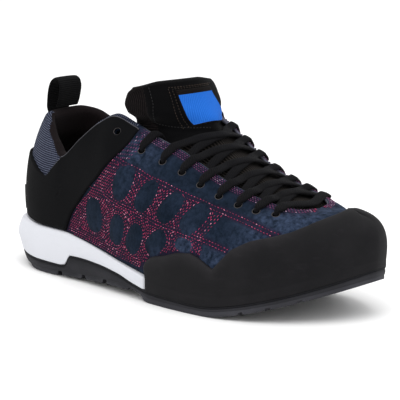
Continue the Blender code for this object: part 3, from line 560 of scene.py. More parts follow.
class Maker:
    """Gathers grids of points in millimetres and makes them one mesh in the frame's metres."""

    def __init__(self, name: str) -> None:
        """Start an empty piece with a name."""
        self.name = name
        self.points: list[Array] = []
        self.charts: list[Array] = []
        self.faces: list[Array] = []
        self.slots: list[Array] = []
        self.marks: dict[str, list[Array]] = {}
        self.count = 0

    def grid(self, points: Array, chart: Array, wrap_rows: bool = False, wrap_columns: bool = False,
             keep: Array | None = None, slot: Array | int = 0, caps: bool = False, **marks: Array) -> None:
        """Add a grid whose faces turn outwards when rows rise and columns run forwards.

        Args:
            points: Rows by columns by 3.
            chart: Rows by columns by 2, the place on the piece in millimetres.
            wrap_rows: Whether the last row joins the first.
            wrap_columns: Whether the last column joins the first.
            keep: Which faces to make, as booleans, or None for all.
            slot: Material slot of the faces, one number or one for each face.
            caps: Whether the first and last row are closed by a fan.
            **marks: Point values by name, rows by columns.
        """
        rows, columns = points.shape[:2]
        index = np.arange(rows * columns).reshape(rows, columns)
        if wrap_rows:
            index = np.concatenate([index, index[:1]])
        if wrap_columns:
            index = np.concatenate([index, index[:, :1]], 1)
        quads = np.stack([index[:-1, :-1], index[:-1, 1:], index[1:, 1:], index[1:, :-1]], -1)
        chosen = np.ones(quads.shape[:2], bool) if keep is None else keep
        slots = np.broadcast_to(np.asarray(slot), quads.shape[:2])
        self.faces.append(quads[chosen] + self.count)
        self.slots.append(slots[chosen])
        self.points.append(points.reshape(-1, 3))
        self.charts.append(chart.reshape(-1, 2))
        for name, values in marks.items():
            known = self.marks.setdefault(name, [np.zeros(self.count)])
            known.append(np.broadcast_to(values, (rows, columns)).ravel())
        for name in set(self.marks) - set(marks):
            self.marks[name].append(np.zeros(rows * columns))
        first = self.count
        self.count += rows * columns
        if caps:
            for row, turn in ((0, -1), (rows - 1, 1)):
                ring = first + np.arange(columns) + row * columns
                self.points.append(points[row].mean(0)[None])
                self.charts.append(chart[row].mean(0)[None])
                for values in self.marks.values():
                    values.append(np.zeros(1))
                middle = np.full(columns, self.count)
                after = np.roll(ring, -1)
                fan = np.stack([ring, after, middle][::turn], -1)
                self.faces.append(np.concatenate([fan, fan[:, -1:]], 1))
                self.slots.append(np.zeros(columns, int))
                self.count += 1

    def close_sides(self, rows: int, columns: int, outer: int) -> None:
        """Close both sides of a wall, the piece's first grid, with a strip of faces each.

        Args:
            rows: Rows of the wall, up outside and down inside.
            columns: Points in each row.
            outer: How many of the rows go up outside.
        """
        step = np.arange(outer)
        for column, turn in ((0, 1), (columns - 1, -1)):
            up = step * columns + column
            down = (rows - 1 - np.minimum(step, rows - outer - 1)) * columns + column
            self.faces.append(np.stack([up[:-1], up[1:], down[1:], down[:-1]][::turn], -1))
            self.slots.append(np.zeros(outer - 1, int))

    def mesh(self, weld: float = 1e-6, sharp: float | None = None) -> Mesh:
        """Make the mesh: one UV map named chart, the marks as point attributes, doubles merged.

        Args:
            weld: Distance in metres within which points are merged.
            sharp: Angle in degrees past which an edge is shaded sharp, or None.

        Returns:
            The mesh.
        """
        points = (np.concatenate(self.points) - ORIGIN) * MM
        quads, charts = np.concatenate(self.faces), np.concatenate(self.charts)
        faces = [tuple(dict.fromkeys(quad)) for quad in quads.tolist()]
        mesh = bpy.data.meshes.new(self.name)
        mesh.from_pydata(points.tolist(), [], faces)
        mesh.polygons.foreach_set("material_index", np.concatenate(self.slots).astype(np.int32))
        corners = np.empty(len(mesh.loops), np.int32)
        mesh.loops.foreach_get("vertex_index", corners)
        places = (charts[corners] * MM).astype(np.float32).ravel()
        mesh.uv_layers.new(name="chart").data.foreach_set("uv", places)
        for name, values in self.marks.items():
            values = np.concatenate(values).astype(np.float32)
            mesh.attributes.new(name, "FLOAT", "POINT").data.foreach_set("value", values)
        work = bmesh.new()
        work.from_mesh(mesh)
        bmesh.ops.remove_doubles(work, verts=work.verts, dist=weld)
        bmesh.ops.dissolve_degenerate(work, edges=work.edges, dist=1e-8)
        work.to_mesh(mesh)
        work.free()
        mesh.shade_smooth()
        if sharp is not None:
            mesh.set_sharp_from_angle(angle=math.radians(sharp))
        return mesh


def put(name: str, data: bpy.types.ID) -> bpy.types.Object:
    """Make an object and link it into the scene."""
    thing = bpy.data.objects.new(name, data)
    bpy.context.scene.collection.objects.link(thing)
    return thing


def add_piece(name: str, mesh: Mesh, finishes: list,
              replaces: tuple = ()) -> bpy.types.Object:
    """Put a finished mesh into the scene as a piece of the shoe.

    Args:
        name: The piece's name.
        mesh: Its mesh, in place.
        finishes: Finishes, one for each material slot of the mesh.
        replaces: The CAD nodes that the piece stands for.

    Returns:
        The object.
    """
    thing = put(name, mesh)
    for finish in finishes:
        mesh.materials.append(finish.material())
    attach(thing, "root")
    if replaces:
        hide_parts(*replaces)
    LOG.info("%s: %d faces", name, len(mesh.polygons))
    return thing


def cut_away(mesh: Mesh, cutter: Mesh) -> Mesh:
    """Cut one closed mesh out of another, exactly, and give the result."""
    things = [put("cut", m) for m in (mesh, cutter)]
    change = things[0].modifiers.new("cut", "BOOLEAN")
    change.operation, change.solver, change.object = "DIFFERENCE", "EXACT", things[1]
    view = bpy.context.evaluated_depsgraph_get()
    done = bpy.data.meshes.new_from_object(things[0].evaluated_get(view), depsgraph=view)
    for thing in things:
        bpy.data.objects.remove(thing)
    return done


def tube(route: Array, across: Array, width: Array, thick: Array, steps: int, sides: int = 14,
         square: float = 0.75) -> tuple[Array, Array]:
    """Carry a flat oval along a route.

    The oval's long axis lies along across, made square to the route; its corners are
    fuller the smaller square is.

    Args:
        route: Points that the middle line passes.
        across: Direction of the oval's long axis, one for all or one a point.
        width: The oval's width at each route point.
        thick: The oval's thickness at each route point.
        steps: Number of rings.
        sides: Points in each ring.
        square: Power of the oval.

    Returns:
        The grid of points and its chart.
    """
    at = np.linspace(0, 1, steps)
    route = np.asarray(route, float)
    line = curve(route, at)
    far = run_length(route)
    knots = far / far[-1]
    w, h = (smooth(knots, np.broadcast_to(np.asarray(v, float), len(route)), at) for v in (width, thick))
    along = unit(np.gradient(line, axis=0))
    wide = np.broadcast_to(np.asarray(across, float), route.shape)
    wide = walk(wide, knots, at)
    side = unit(wide - along * np.sum(wide * along, -1, keepdims=True))
    face = np.cross(along, side)
    turn = circle(sides)
    c, d = (power(f, square) for f in (np.cos(turn), np.sin(turn)))
    ring = side[:, None] * (w[:, None] * c / 2)[..., None] + face[:, None] * (h[:, None] * d / 2)[..., None]
    girth = (np.arange(sides) / sides) * 2 * (w.max() + h.max())
    return line[:, None] + ring, pair(girth[None, :], run_length(line)[:, None])


class Graph:
    """The shader nodes of one material, wired with short calls."""

    def __init__(self, name: str, colour: tuple, roughness: float, **fixed: float | tuple) -> None:
        """Make a material whose Principled shader has these constant values.

        Args:
            name: The material's name.
            colour: Base colour, linear red, green and blue.
            roughness: The shader's roughness.
            **fixed: Other sockets by name, with underscores for spaces.
        """
        self.made = bpy.data.materials.new(name)
        self.made.use_nodes = True
        self.tree = self.made.node_tree
        self.shader = self.tree.nodes["Principled BSDF"]
        self.shader.inputs["Base Color"].default_value = (*colour, 1.0)
        self.shader.inputs["Roughness"].default_value = roughness
        for socket, value in fixed.items():
            self.shader.inputs[socket.replace("_", " ")].default_value = value
        self.places: dict[str, Socket] = {}

    def add(self, kind: str, inputs: dict, out: int | str = 0, **settings: object) -> Socket:
        """Add a node, set or link its inputs and give one output.

        Args:
            kind: Node type, without the ShaderNode prefix.
            inputs: Values or sockets by input name or number.
            out: Output to give.
            **settings: Properties of the node.

        Returns:
            The output socket.
        """
        node = self.tree.nodes.new(f"ShaderNode{kind}")
        for key, value in settings.items():
            setattr(node, key, value)
        for key, value in inputs.items():
            if isinstance(value, Socket):
                self.tree.links.new(value, node.inputs[key])
            else:
                node.inputs[key].default_value = value
        return node.outputs[out]

    def place(self, kind: str, scale: tuple = (1.0, 1.0, 1.0), turn: float = 0.0) -> Socket:
        """Give Object or UV coordinates, stretched and turned about z."""
        key = f"{kind}{scale}{turn}"
        if key not in self.places:
            source = self.add("TexCoord", {}, out=kind)
            inputs = {"Vector": source, "Scale": scale, "Rotation": (0, 0, turn)}
            self.places[key] = self.add("Mapping", inputs)
        return self.places[key]

    def mark(self, name: str) -> Socket:
        """Read a point attribute of the piece."""
        return self.add("Attribute", {}, out="Fac", attribute_name=name)

    def noise(self, where: Socket, scale: float, detail: float = 3.0,
              rough: float = 0.5) -> Socket:
        """Add a noise texture and give its value."""
        return self.add("TexNoise", {"Vector": where, "Scale": scale, "Detail": detail, "Roughness": rough})

    def wave(self, where: Socket, scale: float, axis: str) -> Socket:
        """Add a sine wave along one axis; scale is waves a metre."""
        inputs = {"Vector": where, "Scale": scale / WAVES_A_UNIT}
        return self.add("TexWave", inputs, out="Fac", bands_direction=axis, wave_profile="SIN")

    def math(self, operation: str, a: object, b: object = 0.0, clamp: bool = False) -> Socket:
        """Combine two values."""
        return self.add("Math", {0: a, 1: b}, operation=operation, use_clamp=clamp)

    def ramp(self, value: Socket, low: float, high: float,
             to: tuple = (0.0, 1.0)) -> Socket:
        """Map a range of values to another, clamped."""
        inputs = {"Value": value, "From Min": low, "From Max": high, "To Min": to[0], "To Max": to[1]}
        return self.add("MapRange", inputs)

    def mix(self, share: object, a: object, b: object) -> Socket:
        """Mix two colours."""
        colours = {6: (*a, 1.0) if isinstance(a, tuple) else a, 7: (*b, 1.0) if isinstance(b, tuple) else b}
        return self.add("Mix", {0: share, **colours}, out=2, data_type="RGBA")

    def bump(self, height: Socket, distance: float, strength: float = 1.0) -> None:
        """Raise the surface by a height in metres, over any bump made before."""
        inputs = {"Height": height, "Distance": distance, "Strength": strength}
        if self.shader.inputs["Normal"].is_linked:
            inputs["Normal"] = self.shader.inputs["Normal"].links[0].from_socket
        self.tree.links.new(self.add("Bump", inputs), self.shader.inputs["Normal"])

    def paint(self, colour: Socket) -> None:
        """Link a colour to the shader."""
        self.tree.links.new(colour, self.shader.inputs["Base Color"])

    def gloss(self, roughness: Socket) -> None:
        """Link a roughness to the shader."""
        self.tree.links.new(roughness, self.shader.inputs["Roughness"])


@dataclass(frozen=True)
class Suede:
    """Split suede: dark and light nap in brushed patches, worn light, tinted purple in the net's bands by
    thread colour and painted shade.
    """

    name: str = "navy_suede"
    dark: tuple = (0.0018, 0.0048, 0.0098)
    light: tuple = (0.0085, 0.0155, 0.0295)
    worn: tuple = (0.034, 0.05, 0.092)
    band: tuple = (0.014, 0.0085, 0.0225)
    edge: tuple = (0.13, 0.13, 0.17)

    def material(self) -> Material:
        """Build the material."""
        g = Graph(self.name, self.dark, 0.95, Sheen_Weight=0.02, Sheen_Roughness=0.5, Specular_IOR_Level=0.05)
        place = g.place("Object")
        brushed = g.place("Object", scale=(1.0, 1.0, 0.3), turn=0.3)
        patches = g.ramp(g.noise(place, 75, 5, 0.65), 0.4, 0.66)
        strokes = g.ramp(g.noise(brushed, 700, 4, 0.7), 0.35, 0.7)
        share = g.math("ADD", g.math("MULTIPLY", patches, 0.5), g.math("MULTIPLY", strokes, 0.5))
        colour = g.mix(share, self.dark, self.light)
        spots = g.ramp(g.noise(place, 260, 5, 0.7), 0.36, 0.66)
        wear_and_painted_highlight = g.math("MULTIPLY", g.mark("worn"), spots, clamp=True)
        colour = g.mix(wear_and_painted_highlight, colour, self.worn)
        # Purple in the net's bands and along the throat: the threads' colour and painted shade between the
        # rows.
        colour = g.mix(g.math("MULTIPLY", g.mark("band"), 0.75), colour, self.band)
        colour = g.mix(g.mark("raw"), colour, self.edge)
        g.paint(colour)
        g.bump(g.noise(brushed, 1500, 5, 0.75), 0.0003, 0.6)
        g.bump(g.noise(place, 220, 3, 0.6), 0.0005, 0.35)
        return g.made


@dataclass(frozen=True)
class Cloth:
    """A woven or knitted cloth: two crossing sets of ribs on the piece's own chart."""

    name: str
    low: tuple
    high: tuple
    ribs: float
    cross: float
    turn: float = 0.0
    depth: float = 0.0003
    roughness: float = 0.9
    sheen: float = 0.02
    crisp: float = 0.0

    def material(self) -> Material:
        """Build the material: rib height from the product of two waves, colour by height.

        crisp cuts the height's low part off, so that the ribs' crossings stand as dots.
        """
        g = Graph(self.name, self.low, self.roughness, Sheen_Weight=self.sheen, Specular_IOR_Level=0.05)
        where = g.place("UV", turn=self.turn)
        ribs = g.wave(where, self.ribs, "X")
        cross = g.wave(where, self.cross, "Y") if self.cross else ribs
        height = g.math("MULTIPLY", ribs, cross)
        uneven = g.noise(g.place("Object"), 900, 3, 0.6)
        shown = g.ramp(height, self.crisp * 0.6, 1.0 - self.crisp * 0.5)
        share = g.math("MULTIPLY", shown, g.ramp(uneven, 0.3, 0.7, (0.6, 1.15)), clamp=True)
        g.paint(g.mix(share, self.low, self.high))
        g.bump(height, self.depth)
        g.bump(uneven, self.depth, 0.3)
        return g.made


@dataclass(frozen=True)
class Moulded:
    """Rubber, foam or coated cloth: fine grain, faint mottling, and a second colour on marked places: dust, a
    painted highlight along the rand's top edge and painted shade at the foam's lower edge.
    """

    name: str
    colour: tuple
    dust: tuple
    roughness: float
    grain: float = 900.0
    depth: float = 0.00008
    smear: float = 0.15
    specular: float = 0.35

    def material(self) -> Material:
        """Build the material."""
        g = Graph(self.name, self.colour, self.roughness, Specular_IOR_Level=self.specular)
        place = g.place("Object")
        long_way = g.place("Object", scale=(0.25, 1.0, 1.6))
        cloudy = g.ramp(g.noise(place, 35, 4, 0.6), 0.42, 0.75)
        smears = g.ramp(g.noise(long_way, 160, 5, 0.7), 0.55, 0.78)
        share = g.math("MULTIPLY", g.math("ADD", g.math("MULTIPLY", cloudy, 0.5), smears), self.smear)
        # Where marked, the second colour: dust on most pieces, a painted highlight on the rand's top edge and
        # painted shade at the foam's lower edge.
        dust_and_painted_light_share = g.math("MULTIPLY", g.mark("dust"), g.ramp(cloudy, 0.0, 1.0, (0.5, 1.0)))
        share = g.math("ADD", share, dust_and_painted_light_share, clamp=True)
        g.paint(g.mix(share, self.colour, self.dust))
        g.gloss(g.ramp(smears, 0.0, 1.0, (self.roughness, min(1.0, self.roughness + 0.12))))
        g.bump(g.noise(place, self.grain, 3, 0.6), self.depth, 0.7)
        return g.made


@dataclass(frozen=True)
class Thread:
    """Twisted sewing thread: fine slanting bands of light and shade."""

    name: str
    low: tuple
    high: tuple
    glint: tuple

    def material(self) -> Material:
        """Build the material: each stitch's own shade, a few with a pale glint along the top."""
        g = Graph(self.name, self.high, 0.6, Specular_IOR_Level=0.3)
        twist = g.wave(g.place("UV", turn=0.7), 2600, "X")
        shade = g.mark("shade")
        share = g.math("MULTIPLY", g.ramp(twist, 0, 1, (0.6, 1.0)), g.ramp(shade, 0.0, 0.75))
        colour = g.mix(share, self.low, self.high)
        g.paint(g.mix(g.ramp(shade, 0.8, 1.0, (0.0, 0.8)), colour, self.glint))
        g.bump(twist, 0.0001, 0.6)
        return g.made


class Finish(Enum):
    """The finishes of the shoe's pieces."""

    SUEDE = Suede()
    COLLAR = Cloth("collar_mesh", (0.009, 0.011, 0.024), (0.2, 0.225, 0.31), 690, 690, 0.0, 0.0004,
                   crisp=0.5)
    LINING = Cloth("collar_lining", (0.0065, 0.0045, 0.005),
                   (0.015, 0.011, 0.012), 1500, 1500, 0.0, 0.0001, 0.95)
    SADDLE = Moulded("saddle_synthetic", (0.0022, 0.0023, 0.0028),
                     (0.009, 0.009, 0.01), 0.8, 1600, 0.0001, 0.1, 0.06)
    PIPING = Moulded("saddle_piping", (0.07, 0.07, 0.08), (0.1, 0.1, 0.1), 0.7, specular=0.1)
    PLATE = Moulded("heel_plate", (0.003, 0.003, 0.0035), (0.01, 0.01, 0.01), 0.6, specular=0.1)
    BAR = Moulded("plate_bar", (0.16, 0.16, 0.17), (0.1, 0.1, 0.1), 0.6)
    RIM = Moulded("cut_edge", (0.05, 0.045, 0.045), (0.09, 0.08, 0.075), 0.9)
    # The rand's second colour: dust at its foot and a painted highlight along its top edge.
    RAND = Moulded("rand_compound", (0.0048, 0.0047, 0.0056),
                   (0.026, 0.024, 0.027), 0.7, 1100, 0.0001, 0.26, 0.12)
    OUTSOLE = Moulded("outsole_rubber", (0.0085, 0.0085, 0.0105),
                      (0.06, 0.06, 0.07), 0.7, 1100, 0.0001, 0.12, 0.14)
    # The foam's second colour: painted shade at its lower edge, by the rubber.
    FOAM = Moulded("midsole_foam", (0.61, 0.62, 0.66), (0.47, 0.48, 0.52), 0.55, 1400, 0.0001, 0.2, 0.2)
    SOCK = Cloth("sock_liner", (0.01, 0.01, 0.011), (0.04, 0.04, 0.042), 1100, 1100, 0.6, 0.0002)
    WING = Cloth("tongue_mesh", (0.0022, 0.0018, 0.002), (0.026, 0.02, 0.02), 1500, 850, crisp=0.3)
    RIBBED = Cloth("tongue_ribbed", (0.003, 0.0027, 0.0027), (0.036, 0.031, 0.028), 700, 0)
    PANEL = Cloth("tongue_suede", (0.0016, 0.0016, 0.0019),
                  (0.0036, 0.0036, 0.0042), 2300, 1900, 0.4, 0.0001, 1.0, 0.03)
    LABEL = Cloth("label_weave", (0.012, 0.11, 0.5), (0.03, 0.2, 0.72), 1500, 2600, 0.0, 0.00012, 0.8)
    LABEL_EDGE = Cloth("label_edge", (0.0025, 0.0022, 0.0025),
                       (0.016, 0.0105, 0.0085), 1500, 900, 0.7, 0.0002, 0.8)
    WEBBING = Cloth("loop_webbing", (0.002, 0.002, 0.0023), (0.0065, 0.0065, 0.0072), 800, 0, 1.5708)
    LACE = Cloth("lace_weave", (0.003, 0.003, 0.0036), (0.0115, 0.011, 0.013), 1500, 1100, 0.785, 0.0002)
    PINK = Thread("pink_thread", (0.07, 0.007, 0.03), (0.46, 0.03, 0.115), (0.72, 0.3, 0.42))
    PURPLE = Thread("purple_thread", (0.045, 0.01, 0.045), (0.2, 0.05, 0.14), (0.42, 0.3, 0.4))
    BLACK = Thread("black_thread", (0.003, 0.003, 0.0035), (0.012, 0.012, 0.013), (0.02, 0.02, 0.022))
    TAN = Thread("frame_thread", (0.01, 0.006, 0.004), (0.035, 0.02, 0.012), (0.05, 0.035, 0.025))

    def material(self) -> Material:
        """Give the finish's material, made once."""
        known = bpy.data.materials.get(self.value.name)
        return known or self.value.material()


@dataclass(frozen=True)
class Cell:
    """A rounded cell of plain suede inside the stitched net, charted from the side."""

    x: float
    z: float
    half_wide: float
    half_high: float
    lean: float
    power: float = 2.6

    def outline(self, offset: float, step: float) -> Array:
        """Give points round the cell at a distance outside it, evenly spaced.

        A superellipse turned by lean; the offset moves each point along its own normal.

        Args:
            offset: Distance outside the cell.
            step: Distance between points.

        Returns:
            The points as (x, z), closed.
        """
        turn = np.linspace(0, 2 * np.pi, 181)
        c, d = (power(f, 2 / self.power) for f in (np.cos(turn), np.sin(turn)))
        flat = np.stack([self.half_wide * c, self.half_high * d], -1)
        along = unit(np.gradient(flat, axis=0))
        flat = flat + offset * np.stack([along[:, 1], -along[:, 0]], -1)
        lean = math.radians(self.lean)
        spin = np.array([[math.cos(lean), -math.sin(lean)], [math.sin(lean), math.cos(lean)]])
        round_it = flat @ spin + (self.x, self.z)
        far = run_length(round_it)
        at = np.linspace(0, far[-1], max(6, int(far[-1] / step)) + 1)[:-1]
        return walk(round_it, far, at)

    def outside(self, x: Array, z: Array) -> Array:
        """Give roughly how far places lie outside the cell, below zero inside it."""
        lean = math.radians(self.lean)
        dx, dz = x - self.x, z - self.z
        u = dx * math.cos(lean) - dz * math.sin(lean)
        v = dx * math.sin(lean) + dz * math.cos(lean)
        level = np.abs(u / self.half_wide) ** self.power + np.abs(v / self.half_high) ** self.power
        level = level ** (1 / self.power)
        return (level - 1) * min(self.half_wide, self.half_high)


# The cells of the stitched net, charted from the side: middle, half sizes and forward lean.
CELLS = [
    Cell(116.5, 70.0, 7.2, 9.8, 8.0), Cell(136.3, 64.3, 6.3, 9.2, 22.0), Cell(156.2, 59.8, 6.6, 8.8, 32.0),
    Cell(175.3, 55.6, 6.9, 8.8, 36.0), Cell(91.0, 46.3, 8.2, 10.6, -4.0), Cell(114.6, 41.0, 6.4, 9.8, 20.0),
    Cell(131.3, 37.8, 6.4, 10.2, 30.0), Cell(151.0, 38.6, 6.2, 9.6, 48.0), Cell(173.0, 40.5, 6.0, 3.6, 10.0),
]

# Rows of stitching charted from the side: name, points (x, z), and distances of the rows.
LINES = {
    "main": ([(108, 84.5), (115.3, 82), (124.9, 79.2), (134.3, 76), (146.6, 73.4), (156.4, 70.7),
              (165.9, 68), (174.9, 65.9), (184.3, 63.3), (193.5, 61.4), (212.1, 57.2), (232.5, 52)],
             (0.0, -1.9)),
    "middle": ([(86, 62.8), (101, 61.5), (112.7, 58.4), (123.2, 56.3), (132.9, 54.6), (145.1, 51.6),
                (157, 49.4), (165.8, 48.3), (179.3, 46.1), (187.7, 44.6), (205, 40.6)], (0.9, -0.9)),
    "low": ([(64, 34.2), (85.4, 31), (98.7, 29.2), (112.9, 26.8), (124, 25.4), (137, 23.6)],
            (0.0, 1.5, -1.5, -3.0)),
    "seam": ([(64.4, 36.5), (71.5, 43.1), (81.2, 52.4), (87.6, 57.8), (97.2, 69.3), (107.9, 82.5),
              (110, 88.9), (113.5, 94.9), (115.5, 98.5)], (0.0, -1.4, -2.8, 1.4, 2.8, -4.2, -5.6, -7.0)),
    "cross": ([(188.5, 60.8), (184, 51.5), (180.5, 46.5)], (0.0, 1.9, 3.7)),
    "drop_1": ([(158.5, 49), (162, 43.5), (162.5, 37)], (0.0, 1.8)),
    "drop_2": ([(184.5, 45), (183, 36.5)], (0.0, 1.8)),
}


def row_height(name: str, x: Array) -> Array:
    """Give the height of a charted row at x."""
    return straight(LINES[name][0], x)


def past_seam(x: Array, z: Array) -> Array:
    """Give how far in front of the charted seam a place lies."""
    return x - np.interp(z, *zip(*((b, a) for a, b in LINES["seam"][0])))


def past_cells(x: Array, z: Array) -> Array:
    """Give roughly how far a place lies outside the nearest cell."""
    return np.min([cell.outside(x, z) for cell in CELLS], axis=0)


@dataclass
class Stitching:
    """Sewn rows: every stitch is a short arched capsule of thread on the surface."""

    last: Last
    pitch: float = 2.25
    length: float = 1.15
    radius: float = 0.26
    space: float = 1.2
    seed: int = 11
    net_rows: tuple = (0.8, 2.15, 3.5, 4.85, 6.2, 7.5)

    def rows_of_net(self) -> tuple[Array, Array]:
        """Work out the net: rows round each cell and along each line, none on another.

        Returns:
            The stitches' ends as two arrays of (x, z).
        """
        rows = []
        for points, offsets in LINES.values():
            points = np.array(points, float)
            for k, offset in enumerate(offsets):
                line = curve(points, np.linspace(0, 1, 200))
                along = unit(np.gradient(line, axis=0))
                line = line + offset * np.stack([-along[:, 1], along[:, 0]], -1)
                far = run_length(line)
                at = np.arange(0.6 + (k % 2) * self.pitch / 2, far[-1] - 0.5, self.pitch)
                rows.append((line, far, at))
        line_rows = len(rows)
        for k, offset in enumerate(self.net_rows):
            for cell in CELLS:
                line = cell.outline(offset, 0.6)
                line = np.concatenate([line, line[:1]])
                far = run_length(line)
                rows.append((line, far, np.arange((k % 2) * self.pitch / 2, far[-1] - 0.4, self.pitch)))
        starts, ends = [np.zeros((0, 2))], [np.zeros((0, 2))]
        for number, (line, far, at) in enumerate(rows):
            half = self.length / 2
            a, b = (walk(line, far, at + d) for d in (-half, half))
            middle = (a + b) / 2
            x, z = middle.T
            good = past_cells(x, z) > 0.4
            if number >= line_rows:
                good &= (z < row_height("main", x) - 0.4) & (z > row_height("low", x) + 0.8)
                good &= (past_seam(x, z) > 1.5) & (x < 187)
            done = (np.concatenate(starts) + np.concatenate(ends)) / 2
            if len(done):
                nearest = np.min(np.linalg.norm(middle[:, None] - done[None], axis=-1), axis=1)
                good &= nearest > self.space
            starts.append(a[good])
            ends.append(b[good])
        return np.concatenate(starts), np.concatenate(ends)

    def capsules(self, maker: Maker, start: Array, end: Array, normal: Array, slot: int = 0) -> None:
        """Add stitches: four rings of five points along each, arched over the surface.

        Args:
            maker: The piece that takes them.
            start: First ends, on the surface.
            end: Last ends.
            normal: The surface's normals.
            slot: Material slot.
        """
        u = np.array([0.0, 0.22, 0.78, 1.0])
        girth = np.array([0.45, 1.0, 1.0, 0.45]) * self.radius
        rise = np.array([-0.12, 0.24, 0.24, -0.12])
        along = unit(end - start)
        side = unit(np.cross(along, normal))
        turn = circle(5)
        middle = start[:, None] + (end - start)[:, None] * u[None, :, None]
        middle = middle + normal[:, None] * rise[None, :, None]
        ring = side[:, None] * np.cos(turn)[None, :, None] + normal[:, None] * np.sin(turn)[None, :, None]
        points = middle[:, :, None] + ring[:, None] * girth[None, :, None, None]
        count = len(start)
        index = np.arange(count * 20).reshape(count, 4, 5) + maker.count
        after = np.roll(index, -1, axis=2)
        quads = np.stack([index[:, :-1], index[:, 1:], after[:, 1:], after[:, :-1]], -1).reshape(-1, 4)
        ends = [index[:, 0, k] for k in ((0, 1, 2, 3), (0, 3, 4, 4))]
        ends += [index[:, 3, k] for k in ((3, 2, 1, 0), (4, 4, 3, 0))]
        maker.faces += [quads, *ends]
        maker.slots += [np.full(len(quads), slot)] + [np.full(count, slot)] * 4
        maker.points.append(points.reshape(-1, 3))
        chart = pair(turn[None, None, :] * self.radius, (u * self.length)[None, :, None])
        maker.charts.append(np.broadcast_to(chart, (count, 4, 5, 2)).reshape(-1, 2))
        known = maker.marks.setdefault("shade", [np.zeros(maker.count)])
        known.append(np.repeat(np.random.default_rng(self.seed + maker.count).random(count), 20))
        maker.count += count * 20

    def on_upper(self, maker: Maker, s: Array, t: Array, lift: Array, slot: int = 0) -> None:
        """Add stitches whose two ends are given as (s, t), arrays of two columns."""
        points = self.last.point(s, t, lift)
        self.capsules(maker, points[:, 0], points[:, 1], self.last.normal(s.mean(1), t.mean(1)), slot)


